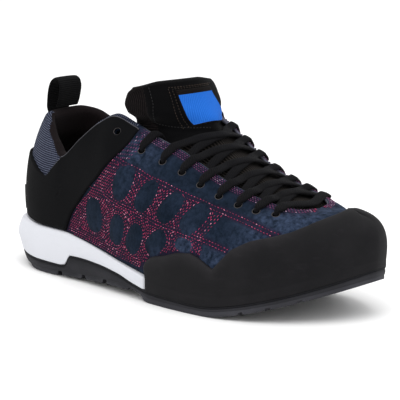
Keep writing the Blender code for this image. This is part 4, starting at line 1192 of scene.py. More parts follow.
@dataclass
class Upper:
    """The hollow upper with its suede quarters, collar cloth, lining, net and lace holes."""

    last: Last
    columns: int = 520
    rows: int = 66
    hole: float = 2.3
    puff: float = 0.55
    lined_to: float = 5.4
    lining_lap: tuple = (
        (0.0, 0.0), (2.3, 0.0), (2.7, 1.2), (3.1, 3.0), (3.6, 4.2), (4.4, 3.6), (5.2, 0.8), (6.0, 0.0),
    )
    inner_lap: float = 0.6
    mesh_rows: tuple = ((0.5, 0), (0.9, 3), (1.7, 3), (2.4, 0), (5.4, 0), (5.8, 4))
    worn_places: tuple = (
        (175, 41, 7, 0.9), (195, 32, 9, 0.9), (212, 54, 9, 0.55), (116, 92, 9, 0.6),
        (128, 88, 10, 0.35), (226, 53, 8, 0.5), (237, 60, 10, 1.2), (222, 60, 8, 0.6),
    )
    throat_rows: tuple = ((1.6, 0.0), (2.9, 0.5), (4.2, 0.0), (5.5, 0.5))
    throat_start: float = 8.2

    def chart_side(self, s: Array, t: Array) -> tuple[Array, Array]:
        """Give the side chart's (x, z) for places on either side, as if on the outer side."""
        face = self.last.face(np.abs(s), t)
        return face[..., 0], face[..., 2]

    def net(self, s: Array, t: Array) -> Array:
        """Say how much of the stitched net's band lies at a place, from 0 to 1; it sinks the relief and sets
        the purple tint of thread colour and painted shade.
        """
        x, z = self.chart_side(s, t)
        inside = ease(row_height("main", x) + 1.2 - z, 0, 1.6) * ease(z - row_height("low", x), -4.5, -3)
        inside *= ease(past_seam(x, z), -5, -4) * (1 - ease(x, 184, 187.5))
        trail = np.zeros_like(x)
        for name, start in (("main", 184), ("middle", 180)):
            off = np.abs(z - row_height(name, x) + (0.9 if name == "main" else 0.0))
            band = (1 - ease(off, 1.4, 2.6)) * ease(x, start, start + 3) * (x < LINES[name][0][-1][0])
            trail = np.maximum(trail, band)
        return np.maximum(inside * ease(past_cells(x, z), 0.0, 1.2), trail)

    def relief(self, s: Array, t: Array) -> Array:
        """Give the suede's low relief: puffed cells, sunk bands, holes drawn in, soft creases."""
        x, z = self.chart_side(s, t)
        height = self.puff * (1 - ease(past_cells(x, z), -3.0, 0.6)) - 0.25 * self.net(s, t)
        height += 0.22 * ripple(x, z, 22, 3) * ease(np.abs(s), 8, 9.5)
        for section, inset in EYELETS:
            centre = self.last.face(section, self.last.below_top(section, inset)[0])
            away = np.linalg.norm(self.last.face(np.abs(s), t) - centre, axis=-1)
            height -= 0.45 * np.exp(-((away / 4.2) ** 2))
        return height

    def build(self) -> None:
        """Make the wall as one loop from the sole line over the rim and back inside."""
        last = self.last
        s = round_shoe(self.columns)
        closed = np.abs(s) >= VAMP
        length = np.linalg.norm(last.top_line(s) - last.sole_line(s), axis=-1)
        t_out = 1 - (1 - np.linspace(0, 1, self.rows)) ** 1.25
        wall_top = last.thickness(s, np.ones_like(s))
        rim = np.where(closed, 0.0, np.minimum(wall_top / 2, 2.6) * (1 - ease(np.abs(s), VAMP - 0.6, VAMP)))
        top = 1 - rim * 0.85 / length
        t = t_out[:, None] * top[None, :]
        relief = self.relief(s[None, :], t)
        behind = table(SADDLE_FRONT, t)
        side = np.abs(s)[None, :]
        down = (1 - t) * length[None, :]
        suede = ease(side - behind, -0.3, 0.0)
        relief = relief * suede * ease(t, 0.0, 0.06) * (1 - ease(t_out[:, None], 0.9, 0.99))
        lap = straight(self.lining_lap, np.abs(s))
        seam = np.exp(-(((down - lap[None, :]) / 0.8) ** 2))
        relief = relief - 0.6 * seam * ease(side, 2.5, 2.9) * (side < 5.6)
        outer = last.point(s[None, :], t, relief)
        turn = np.linspace(0, np.pi, 9)[1:-1, None]
        out, rising = last.normal(s, top), unit(last.face(s, top) - last.face(s, top - 0.02))
        wall_top = np.where(closed, last.wall, wall_top)
        middle = last.face(s, top) - out * (wall_top / 2)[:, None]
        arc = middle + out * (np.cos(turn) * wall_top / 2)[..., None]
        arc = arc + rising * (np.sin(turn) * rim)[..., None]
        t_in = np.linspace(1, 0, 34)[:, None] * top[None, :]
        heel = (1 - ease(np.abs(s), 6.5, 9.0)) * np.sin(np.pi * np.clip((t_in - 0.55) / 0.45, 0, 1)) * 1.6
        wall = np.where(closed, last.wall, last.thickness(s[None, :], t_in))
        inner = last.point(s[None, :], t_in, -wall - heel)
        points = np.concatenate([outer, arc, inner])
        rows = len(points)
        over = np.broadcast_to(length + turn * rim, (len(turn), len(s)))
        girth = np.concatenate([t * length, over, length + 8 + (1 - t_in) * length])
        along = run_length(last.sole_line(s) * 0.5 + last.top_line(s) * 0.5)
        chart = pair(along[None, :], girth)
        worn, band, raw = (np.zeros((rows, len(s))) for _ in range(3))
        x, z = self.chart_side(s[None, :], t)
        hem = ease(down, 0.6, 1.4) * (1 - ease(down, 4.5, 9.0))
        hem = hem * ~closed[None, :] * (side > self.throat_start)
        # The purple tint of thread colour and painted shade, in the net's bands and along the throat's hem.
        band[:self.rows] = np.maximum(self.net(s[None, :], t), 0.6 * hem)
        worn[:self.rows] = self.worn(s[None, :], t, x, z)
        throat = ease(np.abs(s), self.throat_start, self.throat_start + 0.4) * ~closed
        raw[self.rows:self.rows + len(turn)] = throat * np.sin(turn) ** 2
        keep = np.ones((rows, len(s)), bool)
        keep[self.rows - 1:self.rows + len(turn)] = ~(closed & np.roll(closed, -1))
        slots = self.shares(s, down, side > behind - 0.1, lap, rows, len(turn))
        maker = Maker("upper_wall")
        maker.grid(points, chart, wrap_rows=True, wrap_columns=True, keep=keep, slot=slots, worn=worn,
                   band=band, raw=raw)
        mesh = cut_away(maker.mesh(), self.rods(self.hole, 12))
        add_piece("upper_wall", mesh, [Finish.SUEDE, Finish.LINING, Finish.COLLAR], ("upper",))

    def shares(self, s: Array, down: Array, front: Array, lap: Array, rows: int, arc: int) -> Array:
        """Share the wall's faces out: 0 suede, 1 lining, 2 the collar's mesh.

        Args:
            s: Sections.
            down: Distances below the top line on the outer face.
            front: Whether a place lies in front of the saddle.
            lap: How far the lining laps over the rim at each section.
            rows: Rows of the whole wall.
            arc: Rows of the rounded rim.

        Returns:
            One slot for each face.
        """
        slots = np.ones((rows, len(s)), int)
        lap = lap * np.where(s > 0, 1.0, self.inner_lap)
        slots[:self.rows] = np.where(front, 0, np.where(down < lap[None, :], 1, 2))
        mesh_rows = np.where(s < -self.lined_to, 4, straight(self.mesh_rows, s))
        middle = self.rows + arc // 2
        on_arc = np.arange(middle - self.rows)[:, None] + 0.5
        slots[self.rows:middle] = np.where(np.abs(s) > 8.15, 0, np.where(on_arc < mesh_rows, 2, 1))
        slots[middle:middle + 3] = np.where(np.abs(s) > 8.4, 0, 1)
        return slots

    def worn(self, s: Array, t: Array, x: Array, z: Array) -> Array:
        """Say where the nap is worn light: by the rand, at the throat's front and under holes."""
        total = 0.18 + 0.25 * ripple(x, z, 30, 5)
        for cx, cz, size, much in self.worn_places:
            total = total + much * np.exp(-((x - cx) ** 2 + (z - cz) ** 2) / size**2)
        edge = straight(RAND_EDGE, np.abs(s), left=0.0)
        total = total + 0.45 * np.exp(-(((t - edge) / 0.06) ** 2)) * (np.abs(s) > 9)
        total = total + 0.4 * ease(t, 0.93, 1.0) * (np.abs(s) > self.throat_start)
        return np.clip(total, 0, 1)

    def holes(self) -> Iterator[tuple[Array, Array, Array, Array]]:
        """Give each lace hole's section, share of height, middle and normal, outer side first."""
        for side in (1, -1):
            for section, inset in EYELETS:
                s = np.array([side * section])
                t = self.last.below_top(s, inset)
                yield s, t, self.last.face(s, t)[0], self.last.normal(s, t)[0]

    def rods(self, radius: float, reach: float) -> Mesh:
        """Make one mesh of round rods square to the face, one for each lace hole."""
        maker = Maker("rods")
        for _, _, middle, normal in self.holes():
            route = middle + normal * np.array([[-reach], [5.0]])
            points, chart = tube(route, np.cross(normal, UP), 2 * radius, 2 * radius, 2, 16, 1.0)
            maker.grid(points, chart, wrap_columns=True, caps=True)
        mesh = maker.mesh()
        work = bmesh.new()
        work.from_mesh(mesh)
        bmesh.ops.recalc_face_normals(work, faces=work.faces)
        work.to_mesh(mesh)
        work.free()
        return mesh

    def sew(self) -> None:
        """Sew the net on both sides and the four rows along the throat."""
        stitching = Stitching(self.last)
        start, end = stitching.rows_of_net()
        (s0, t0), (s1, t1) = (self.last.place(*p.T) for p in (start, end))
        s_middle, t_middle = (s0 + s1) / 2, (t0 + t1) / 2
        shown = table(SADDLE_FRONT, t_middle) + 0.06 < s_middle
        shown &= straight(RAND_EDGE, s_middle, left=0.0) + 0.015 < t_middle
        s, t = np.stack([s0, s1], -1)[shown], np.stack([t0, t1], -1)[shown]
        lift = self.relief(s, t)
        maker = Maker("net_stitches")
        rng = np.random.default_rng(stitching.seed)
        upper_part = self.chart_side(s.mean(1), t.mean(1))[1] > 84.5
        for side in (1, -1):
            for chosen, slot in ((~upper_part, 0), (upper_part, 1)):
                jitter = rng.normal(0, 0.006, (int(chosen.sum()), 2))
                s_two, t_two = side * s[chosen] + jitter, t[chosen] + jitter[:, ::-1] * 0.3
                stitching.on_upper(maker, s_two, t_two, lift[chosen], slot)
        add_piece("net_stitches", maker.mesh(), [Finish.PINK, Finish.PURPLE])
        maker = Maker("throat_stitches")
        for inset, shift in self.throat_rows:
            for side in (1, -1):
                fine = np.linspace(8.35, 15.9, 160)
                t = self.last.below_top(fine, inset * np.interp(fine, (15.0, 15.9), (1.0, 1.35)))
                line = self.last.point(side * fine, t)
                far = run_length(line)
                at = np.arange(1.0 + shift * 2.0, far[-1] - 1.0, 2.0)
                ends = at[:, None] + (-0.62, 0.62)
                s_two, t_two = (np.interp(ends, far, values) for values in (side * fine, t))
                front = np.abs(s_two[:, 0]) > 15.55
                for part, slot in ((~front, 0), (front, 1)):
                    stitching.on_upper(maker, s_two[part], t_two[part], 0.05, slot)
        add_piece("throat_stitches", maker.mesh(), [Finish.PURPLE, Finish.PINK])

    def rims(self) -> None:
        """Make the raw cut edge of each lace hole as a thin ring on the face."""
        maker = Maker("hole_rims")
        turn, small = circle(24), circle(8)
        chart = pair(turn[:, None] * self.hole, small[None, :] * 0.2)
        out = self.hole + 0.12 + 0.22 * np.cos(small)
        for s, t, middle, normal in self.holes():
            first = unit(np.cross(normal, UP))
            second = np.cross(normal, first)
            lift = 1.75 if abs(s[0]) < self.throat_start else self.relief(np.abs(s), t)[0] + 0.02
            ring = np.cos(turn)[:, None] * first + np.sin(turn)[:, None] * second
            rise = (lift + 0.22 * np.sin(small))[None, :, None]
            points = middle + ring[:, None] * out[None, :, None] + normal * rise
            maker.grid(points, chart, wrap_rows=True, wrap_columns=True)
        add_piece("hole_rims", maker.mesh(), [Finish.RIM])


@dataclass
class Saddle:
    """The black synthetic overlay round the heel, its piping and the plate low on the heel."""

    last: Last
    foot: float = 0.012
    rim: float = 2.2
    wall: float = 1.75
    bead: float = 0.42
    blend: float = 1.2
    plate_half: float = 1.15
    plate_span: tuple = (0.03, 0.24)
    bar_middles: tuple = (-0.72, -0.36, 0.0, 0.36, 0.72)
    bar_half: float = 0.1
    bar_span: tuple = (0.09, 0.18)

    def height_t(self, s: Array, height: Array) -> Array:
        """Give the t at which each section reaches a height."""
        samples = np.linspace(0, 1, 81)
        rows = self.last.face(s[:, None], samples[None, :])[..., 2]
        return np.array([np.interp(h, np.maximum.accumulate(z), samples) for h, z in zip(height, rows)])

    def places(self, a: Array, b: float) -> tuple[Array, Array]:
        """Give (s, t) for a, from one front edge over the heel to the other, and b upwards."""
        s = a * table(SADDLE_FRONT, np.asarray(b, float))
        rim = self.last.top_line(s)[..., 2] - self.rim
        behind = np.abs(s) < SADDLE_TOP[-1][0]
        top = np.where(behind, table(SADDLE_TOP, np.abs(s)), rim + 12)
        height = np.minimum(-self.blend * np.logaddexp(-top / self.blend, -rim / self.blend), rim)
        return s, self.foot + (self.height_t(s, height) - self.foot) * b

    def build(self, upper: Upper) -> None:
        """Make the overlay as a thin wall with rounded edges, cut by the top lace holes."""
        a = np.linspace(-1, 1, 260)
        b = 1 - (1 - np.linspace(0, 1, 44)) ** 1.2
        places = [self.places(a, v) for v in b]
        s, t = (np.array([p[k] for p in places]) for k in (0, 1))
        edge = np.minimum.outer(np.minimum(b, 1 - b) * 70, np.minimum(1 + a, 1 - a) * 90)
        round_off = rounded(edge / 1.1)
        x, z = s * 18, t * 90
        lift = 0.25 + self.wall * (0.3 + 0.7 * round_off) + 0.12 * ripple(x, z, 30, 8)
        outer = self.last.point(s, t, lift)
        inner = self.last.point(s, t, np.full_like(s, 0.1))
        chart = np.stack([x, z], -1)
        dust = np.clip(0.1 + 0.25 * ripple(x, z, 40, 4) + 0.25 * (1 - ease(edge, 0.2, 1.6)), 0, 1)
        maker = Maker("saddle")
        loop = np.concatenate([outer, inner[::-1]])
        dust = np.concatenate([dust, dust * 0])
        maker.grid(loop, np.concatenate([chart, chart[::-1]]), wrap_rows=True, dust=dust)
        maker.close_sides(len(loop), len(a), len(b))
        mesh = cut_away(maker.mesh(), upper.rods(upper.hole + 0.15, 12))
        add_piece("saddle", mesh, [Finish.SADDLE], ("heel_saddle",))
        inset = outer[-2:].mean(0)
        maker = Maker("saddle_piping")
        for part in (a < -0.41, a > 0.41):
            points, bead_chart = tube(inset[part], (0.2, 0.0, 1.0), 2 * self.bead, 2 * self.bead, 120, 8, 1.0)
            maker.grid(points, bead_chart, wrap_columns=True, caps=True)
        add_piece("saddle_piping", maker.mesh(), [Finish.PIPING])

    def plate(self) -> None:
        """Make the plate low on the back of the heel, with plain raised bars."""
        (low, high), (bar_low, bar_high) = self.plate_span, self.bar_span
        s = np.linspace(-self.plate_half, self.plate_half, 60)[None, :]
        t = np.linspace(low, high, 26)[:, None]
        edge = np.minimum(np.minimum(t - low, high - t) * 75, (self.plate_half - np.abs(s)) * 16)
        outer = self.last.point(s, t, 2.0 + 1.7 * rounded(edge / 1.3))
        inner = self.last.point(s, t, 1.9)
        chart = pair(s * 16, t * 75)
        maker = Maker("heel_plate")
        maker.grid(np.concatenate([outer, inner[::-1]]), np.concatenate([chart, chart[::-1]]), wrap_rows=True)
        maker.close_sides(52, 60, 26)
        add_piece("heel_plate", maker.mesh(sharp=50), [Finish.PLATE], ("heel_patch",))
        maker = Maker("plate_bars")
        for middle in self.bar_middles:
            s = np.linspace(middle - self.bar_half, middle + self.bar_half, 7)[None, :]
            t = np.linspace(bar_low, bar_high, 9)[:, None]
            ends = (self.bar_half - np.abs(s - middle)) * 16
            edge = np.minimum(np.minimum(t - bar_low, bar_high - t) * 75, ends)
            maker.grid(self.last.point(s, t, 3.6 + 0.45 * rounded(edge / 0.5)), pair(s * 16, t * 75))
        add_piece("plate_bars", maker.mesh(), [Finish.BAR])


@dataclass
class Rand:
    """The rubber rand round the forefoot, toe cap and side lobes in one piece."""

    last: Last
    sole: SoleForm
    wall: float = 3.1
    columns: int = 420
    rows: int = 40

    def build(self) -> None:
        """Make the wall: foot on the outsole, up the upper's own face, rounded at the edge."""
        last, sole = self.last, self.sole
        run = np.linspace(RAND_EDGE[0][0], 2 * TIP - RAND_EDGE[0][0], self.columns)
        s = np.where(run > TIP, run - 2 * TIP, run)
        top = straight(RAND_EDGE, np.abs(s))
        length = np.linalg.norm(last.top_line(s) - last.sole_line(s), axis=-1)
        share = 1 - (1 - np.linspace(0, 1, self.rows)) ** 1.3
        t = top[None, :] * share[:, None]
        closed = np.abs(s) >= RAND_EDGE[-1][0] - 0.01
        corner = np.hypot((np.abs(s)[None, :] - RAND_EDGE[-1][0]) * 14, (1 - t) * length)
        down = np.where(closed[None, :], corner, (top[None, :] - t) * length)
        ends = np.minimum(run - run[0], run[-1] - run) * 17
        round_off = np.minimum(rounded(down / 2.2), rounded(ends / 1.2))
        lift = 0.1 + self.wall * (0.3 + 0.7 * round_off) + 0.1 * ripple(run[None, :] * 16, t * 60, 26, 2)
        outer = last.point(s[None, :], t, lift)
        foot_z = sole.end_rise(last.sole_line(s)[:, 0]) + sole.value("rubber", s) + 0.1
        foot_z = np.minimum(foot_z, outer[0, :, 2] - 1.0)
        steps = np.linspace(0, 1, 7)[:-1, None]
        foot_out = ring_at(last, s, lift[0], foot_z)
        low = foot_out[None] * (1 - steps[..., None]) + outer[0][None] * steps[..., None]
        inner = last.point(s[None, :], t, np.full_like(t, 0.05))
        foot_in = ring_at(last, s, 0.05, foot_z)
        loop = np.concatenate([low, outer, inner[::-1], foot_in[None]])
        rows = len(loop)
        girth = np.concatenate([np.tile(np.arange(6)[:, None] * 2.0, len(run)), 12 + t * length,
                                14 + top * length + (top[None, :] - t[::-1]) * length,
                                np.full((1, len(run)), 90.0)])
        chart = pair(run[None, :] * 16, girth)
        keep = np.ones((rows, len(run) - 1), bool)
        at_top = 6 + self.rows - 1
        keep[at_top] = ~(closed[:-1] & closed[1:])
        dust = np.zeros((rows, len(run)))
        dust[:6] = 0.12
        # Painted highlight: lighter towards the rounded top edge, with uneven mottling.
        wear_and_painted_highlight = 0.5 * np.exp(-((down / 5.0) ** 2)) + 0.2 * ripple(run[None, :] * 16, t * 60, 34, 9)
        dust[6:at_top + 1] = np.clip(wear_and_painted_highlight, 0, 1)
        maker = Maker("rand_cap")
        maker.grid(loop, chart, wrap_rows=True, keep=keep, dust=dust)
        maker.close_sides(rows, len(run), at_top + 1)
        add_piece("rand_cap", maker.mesh(weld=2e-6), [Finish.RAND], ("rand",))


@dataclass
class Sole:
    """Midsole, outsole with its tread, and the sock liner."""

    last: Last
    form: SoleForm
    columns: int = 520
    stud_pitch: float = 8.6
    liner_edge: tuple = (
        (1.5, 0.5), (0.0, 1.0), (0.0, 4.6), (0.4, 5.1), (1.2, 5.0), (2.5, 4.3), (4.5, 4.0),
    )

    def midsole(self) -> None:
        """Make the foam wedge: a smooth profile from the rubber's edge to the upper."""
        last, form = self.last, self.form
        s = round_shoe(self.columns)
        x, line_z = last.sole_line(s)[:, 0], last.sole_line(s)[:, 2]
        shown = 1 - ease(np.abs(s), 8.57, 8.8)
        top_out = form.value("top_out", s) * shown - form.gap * (1 - shown)
        wide_out = form.value("wide_out", s) * shown - form.gap * (1 - shown)
        rubber = form.end_rise(x) + form.value("rubber", s) + form.gap
        slab = np.minimum(form.floor(x) + form.slab + form.gap, rubber - 0.1)
        top = line_z - form.gap
        share = np.clip((form.value("wide_z", s) - rubber) / (top - rubber), 0.3, 0.7)
        tuck = wide_out - 3.0
        knots = [(tuck - 1.0, slab), (tuck, np.minimum(slab + 0.4, rubber - 0.05)), (tuck, rubber)]
        profile = [(wide_out - 0.5, rubber), (wide_out - 0.05, rubber + 0.5),
                   (wide_out, rubber + (top - rubber) * share),
                   (top_out + 0.3 * (wide_out - top_out), top - 1.5), (top_out - 0.2, top - 0.4),
                   (top_out - 0.9, top), (top_out - 4.0, top)]
        rings = [ring_at(last, s, reach, z) for reach, z in knots]
        knots_at = np.linspace(0, 1, len(profile))
        reaches, heights = (np.array(column) for column in zip(*profile))
        for v in np.linspace(0, 1, 22):
            at = np.full(len(s), v)
            rings.append(ring_at(last, s, smooth(knots_at, reaches, at), smooth(knots_at, heights, at)))
        points = np.array(rings)
        chart = pair(run_length(points[5])[None, :], np.arange(len(points))[:, None] * 1.5)
        maker = Maker("midsole_foam")
        dust = np.zeros(points.shape[:2])
        # Painted shade: the foam's lowest rows, by the rubber, darker and bluish grey.
        dust[3:6] = 0.35
        maker.grid(points, chart, wrap_columns=True, dust=dust)
        self.cap(maker, points[-1], 1, 6)
        self.cap(maker, points[0], -1, 6)
        add_piece("midsole_foam", maker.mesh(sharp=45), [Finish.FOAM], ("midsole",))

    def sheet(self, ring: Array, across: int) -> Array:
        """Span a ring by rows from its first half's points to their twins on the other side."""
        half = len(ring) // 2
        own, twin = ring[:half + 1], ring[(-np.arange(half + 1)) % len(ring)]
        share = np.linspace(0, 1, across)[:, None, None]
        return own[None] * (1 - share) + twin[None] * share

    def cap(self, maker: Maker, ring: Array, turn: int, across: int) -> None:
        """Close a ring by a sheet that faces up with turn 1 and down with turn -1."""
        sheet = self.sheet(ring, across)[:, ::turn]
        maker.grid(sheet, sheet[..., :2])

    def outsole(self) -> None:
        """Make the rubber sole: side band, lug walls and an underside with studs and cuts."""
        last, form = self.last, self.form
        s = round_shoe(2 * self.columns)
        line = last.sole_line(s)
        x = line[:, 0]
        reach = form.value("wide_out", s)
        rubber = form.end_rise(x) + form.value("rubber", s)
        shift = ease(np.abs(s), 8.1, 8.7)
        inset = form.lug_inset * (1 - shift) + 0.8 * shift
        floor = form.floor(x)
        lug_top = floor + form.lug_depth
        notch = 0.9 * (1 - shift)
        lug = reach - inset
        cut_rings = ((lug - 0.5, floor), (lug - 0.15, floor + 0.2), (lug, floor + 0.8),
                     (lug, floor + form.lug_depth * 0.6), (lug, lug_top))
        whole_rings = (
            (lug + notch, lug_top + 0.05), (reach - 0.75, lug_top + 0.15), (reach - 0.45, lug_top + 0.5),
            (reach - 0.25, lug_top * 0.5 + (rubber - 0.8) * 0.5), (reach - 0.2, rubber - 1.3),
            (reach - 0.55, rubber - 1.15), (reach - 0.55, rubber - 0.85), (reach - 0.2, rubber - 0.7),
            (reach - 0.25, rubber - 0.2), (reach - 0.6, rubber), (reach - 2.2, rubber),
            (reach - 2.5, np.minimum(floor + form.slab + 0.3, rubber - 0.3)),
            (reach - 3.4, np.minimum(floor + form.slab, rubber - 0.6)),
        )
        points = np.array([ring_at(last, s, *place) for place in (*cut_rings, *whole_rings)])
        for row in points[:len(cut_rings)]:
            row[:, 2] = np.maximum(row[:, 2], form.floor(row[:, 0]) + form.cut(row[:, 0]))
        chart = pair(run_length(points[5])[None, :], np.arange(len(points))[:, None] * 1.2)
        dust = np.zeros(points.shape[:2])
        dust[1:5] = 0.8
        dust[6:9] = 0.35
        maker = Maker("outsole_tread")
        maker.grid(points, chart, wrap_columns=True, dust=dust)
        self.cap(maker, points[-1], 1, 6)
        self.tread(maker, points[0])
        add_piece("outsole_tread", maker.mesh(sharp=40), [Finish.OUTSOLE], ("outsole",))

    def tread(self, maker: Maker, ring: Array) -> None:
        """Make the underside: round studs left standing in a shallow recess.

        Rows run across from each point of the ring to its twin; each point is raised by the
        recess, less where it lies in a stud's circle, and by the cross cuts.

        Args:
            maker: The outsole's maker.
            ring: The ring that bounds the underside.
        """
        sheet = self.sheet(ring, 84)
        own, twin = sheet[0].copy(), sheet[-1].copy()
        share = np.linspace(0, 1, 84)[:, None]
        x, y = sheet[..., 0], sheet[..., 1]
        pitch, row_gap = self.stud_pitch, self.stud_pitch * 0.866
        row = np.round(x / row_gap)
        column = np.round((y - (row % 2) * pitch / 2) / pitch)
        away = np.hypot(x - row * row_gap, y - column * pitch - (row % 2) * pitch / 2)
        edge = np.minimum(share, 1 - share) * np.linalg.norm(own - twin, axis=-1)[None, :]
        field_of = ease(edge, 5.0, 6.0) * ease(x, 10, 14) * (1 - ease(x, 243, 246))
        recess = 1.5 * ease(away, 3.0, 3.5) * field_of
        sheet[..., 2] = np.maximum(self.form.floor(x) + recess, self.form.floor(x) + self.form.cut(x))
        sheet[0], sheet[-1] = own, twin
        maker.grid(sheet[:, ::-1], sheet[:, ::-1, :2], dust=0.5 * (recess[:, ::-1] < 0.2))

    def insole(self) -> None:
        """Make the sock liner, dished up at its edge."""
        last = self.last
        s = round_shoe(240)
        height = last.sole_line(s)[:, 2]
        reach = -2.8
        points = np.array([ring_at(last, s, reach - out, height + z) for out, z in self.liner_edge])
        chart = pair(run_length(points[1])[None, :], np.arange(len(points))[:, None] * 1.5)
        maker = Maker("sock_liner")
        maker.grid(points, chart, wrap_columns=True)
        self.cap(maker, points[-1], 1, 24)
        self.cap(maker, points[0], -1, 4)
        add_piece("sock_liner", maker.mesh(), [Finish.SOCK], ("insole",))


@dataclass
class Tongue:
    """The padded tongue with its cloth wing, ribbed middle, suede panel and bare label."""

    form: TongueForm
    thin: float = 3.0
    pad: float = 7.5
    panel_side: tuple = (
        (0.55, 0.2), (0.6, -0.15), (0.655, -0.38), (0.68, -0.52), (0.71, -0.72), (0.83, -0.75),
        (0.96, -0.83), (1.0, -0.86),
    )
    label_low: tuple = (-0.26, 0.48, 0.65)
    label_high: tuple = (-0.41, 0.19, 0.9)
    label_size: tuple = (17, 26)

    def panel(self, a: Array, b: Array) -> Array:
        """Say how far inside the suede panel a place lies, in rough millimetres."""
        left = straight(self.panel_side, b, left=1.5)
        return np.minimum((a - left) * 26, (b - 0.575) * 130)

    def chart(self, a: Array, b: Array) -> Array:
        """Give the tongue's chart in millimetres."""
        return pair(a * 30, b * 140)

    def softness(self, a: Array, b: Array) -> tuple[Array, Array]:
        """Give the padding's puff and its uneven softness above the laces."""
        free = ease(b, 0.6, 0.72)
        puff = 1.1 * free * np.clip(1 - a * a, 0, 1) * (1 - ease(b, 0.95, 1.0))
        return puff, 0.35 * ripple(a * 30, b * 140, 16, 6) * free

    def build(self) -> None:
        """Make the padded shell: crowned, thin at its sides, rounded at the top."""
        a = np.linspace(-1, 1, 131)[None, :]
        tip = 1 - 0.07 * (1 - np.linspace(0, 1, 22)[1:]) ** 1.6
        b = np.concatenate([np.linspace(0, 0.93, 130), tip])[:, None]
        thick = smooth((0, 0.6, 0.8, 1.0), np.array((self.thin, self.thin, self.pad, self.pad)), b)
        end, sides = rounded((1 - b) / 0.045), rounded((1 - np.abs(a)) / 0.1)
        full = (0.12 + 0.88 * end) * (0.18 + 0.82 * sides)
        shape = full * (1 - 0.45 * np.clip((np.abs(a) - 0.7) / 0.3, 0, 1))
        inset = self.panel(a, b)
        raised = 0.55 * ease(inset, -0.4, 0.4) * ease(b, 0.57, 0.6)
        quilt = -0.7 * np.exp(-(((inset + 0.6) / 1.1) ** 2)) * ease(b, 0.6, 0.72)
        puffed, soft = self.softness(a, b)
        down = -(1 - full) * thick * 0.35
        outer = self.form.point(a, b, (raised + quilt + puffed + soft) * end * sides + down)
        inner = self.form.point(a, b, -thick * (0.35 + 0.65 * shape))
        chart = self.chart(a, b)
        apron = (b[:-1] > 0.56) & (a[:, :-1] > -0.62)
        slots = np.where((inset[:-1, :-1] > -0.2) | apron, 2, np.where(b[:-1] > 0.56, 0, 1))
        maker = Maker("tongue_pad")
        rows = len(b)
        loop_slots = np.concatenate([slots, np.zeros((rows + 1, a.shape[1] - 1), int)])
        maker.grid(np.concatenate([outer, inner[::-1]]), np.concatenate([chart, chart[::-1]]), wrap_rows=True,
                   slot=loop_slots)
        maker.close_sides(2 * rows, a.shape[1], rows)
        finishes = [Finish.WING, Finish.RIBBED, Finish.PANEL]
        pad = add_piece("tongue_pad", maker.mesh(), finishes, ("tongue",))

    def lift(self, a: Array, b: Array) -> Array:
        """Give the padded face's height over the tongue's own face inside the panel."""
        return 0.55 + sum(self.softness(a, b))

    def label(self) -> None:
        """Make the bare woven label with a turned edge."""
        v, u = np.linspace(0, 1, 40)[:, None], np.linspace(0, 1, 50)[None, :]
        left, right, b = (low + (high - low) * v for low, high in zip(self.label_low, self.label_high))
        wide, high = self.label_size
        a = left + (right - left) * u
        b = b + 0 * a
        edge = np.minimum(u * wide + 1.1, (1 - u) * wide)
        edge = np.minimum(edge, np.minimum(v * high + 0.5, (1 - v) * high - 2.6))
        border = np.minimum(np.minimum(u, 1 - u) * wide, np.minimum(v, 1 - v) * high)
        lift = self.lift(a, b) + 0.25 + 0.75 * rounded(border / 0.7)
        outer = self.form.point(a, b, lift - 0.2 * ease(edge, 1.2, 1.6))
        inner = self.form.point(a, b, self.lift(a, b) + 0.02)
        chart = self.chart(a, b)
        slots = np.where(edge[:-1, :-1] < 1.3, 1, 0)
        maker = Maker("woven_label")
        maker.grid(outer, chart, slot=slots)
        maker.grid(inner[::-1], chart[::-1], slot=1)
        finishes = [Finish.LABEL, Finish.LABEL_EDGE]
        add_piece("woven_label", maker.mesh(), finishes, ("tongue_label",))

    def sew(self, stitching: Stitching) -> None:
        """Sew the row along the panel's edge and the rows round the label."""
        maker = Maker("tongue_stitches")
        b = np.linspace(0.6, 0.985, 200)
        rows = [(straight(self.panel_side, b) + 0.075, b, 2.0, 0.65, 0)]
        (low_left, _, low), (high_left, high_right, high) = self.label_low, self.label_high
        for out in (0.035, 0.085):
            top = high + out * 0.22
            corners = ((low_left - out, low), (high_left - out, top), (high_right + out, top))
            fine = np.linspace(0, 2, 160)
            rows.append((*(np.interp(fine, (0, 1, 2), column) for column in zip(*corners)), 1.9, 0.6, 1))
        for a, b, pitch, half, slot in rows:
            line = self.form.point(a, b, self.lift(a, b))
            far = run_length(line)
            at = np.arange(1.0, far[-1] - 1.0, pitch)
            normal = self.form.normal(np.interp(at, far, a), np.interp(at, far, b))
            stitching.capsules(maker, walk(line, far, at - half), walk(line, far, at + half), normal, slot)
        add_piece("tongue_stitches", maker.mesh(), [Finish.BLACK, Finish.TAN])


@dataclass
class PullLoop:
    """The ribbed webbing loop at the back of the heel."""

    last: Last
    width: float = 20.0
    wall: float = 1.5
    cup: float = 0.8
    free: tuple = (
        (17.1, 105.0), (17.6, 111.0), (18.6, 116.5), (21.0, 121.8), (24.8, 124.2), (28.2, 122.4),
        (29.4, 118.2), (28.5, 113.2), (27.2, 108.8), (25.6, 105.4),
    )

    def build(self) -> None:
        """Carry the webbing's cupped oval section along the loop's line."""
        foot = self.last.point(0.0, np.array((0.8, 0.87, 0.94)), 0.3 + self.wall / 2)[:, [0, 2]]
        steps, sides = 150, 36
        path = curve([*foot, *self.free], np.linspace(0, 1, steps))
        along = unit(np.gradient(path, axis=0))
        face = np.stack([-along[:, 1], along[:, 0]], -1)
        turn = circle(sides)
        v, off = power(np.cos(turn), 0.45), power(np.sin(turn), 0.6) * self.wall / 2
        line = path[:, None] + face[:, None] * off[None, :, None]
        y = np.broadcast_to(v * self.width / 2, line.shape[:2])
        points = np.stack([line[..., 0] + self.cup * v * v, y, line[..., 1]], -1)
        maker = Maker("pull_loop")
        maker.grid(points, pair(y, run_length(path)[:, None]), wrap_columns=True, caps=True)
        add_piece("webbing_loop", maker.mesh(), [Finish.WEBBING], ("pull_loop",))


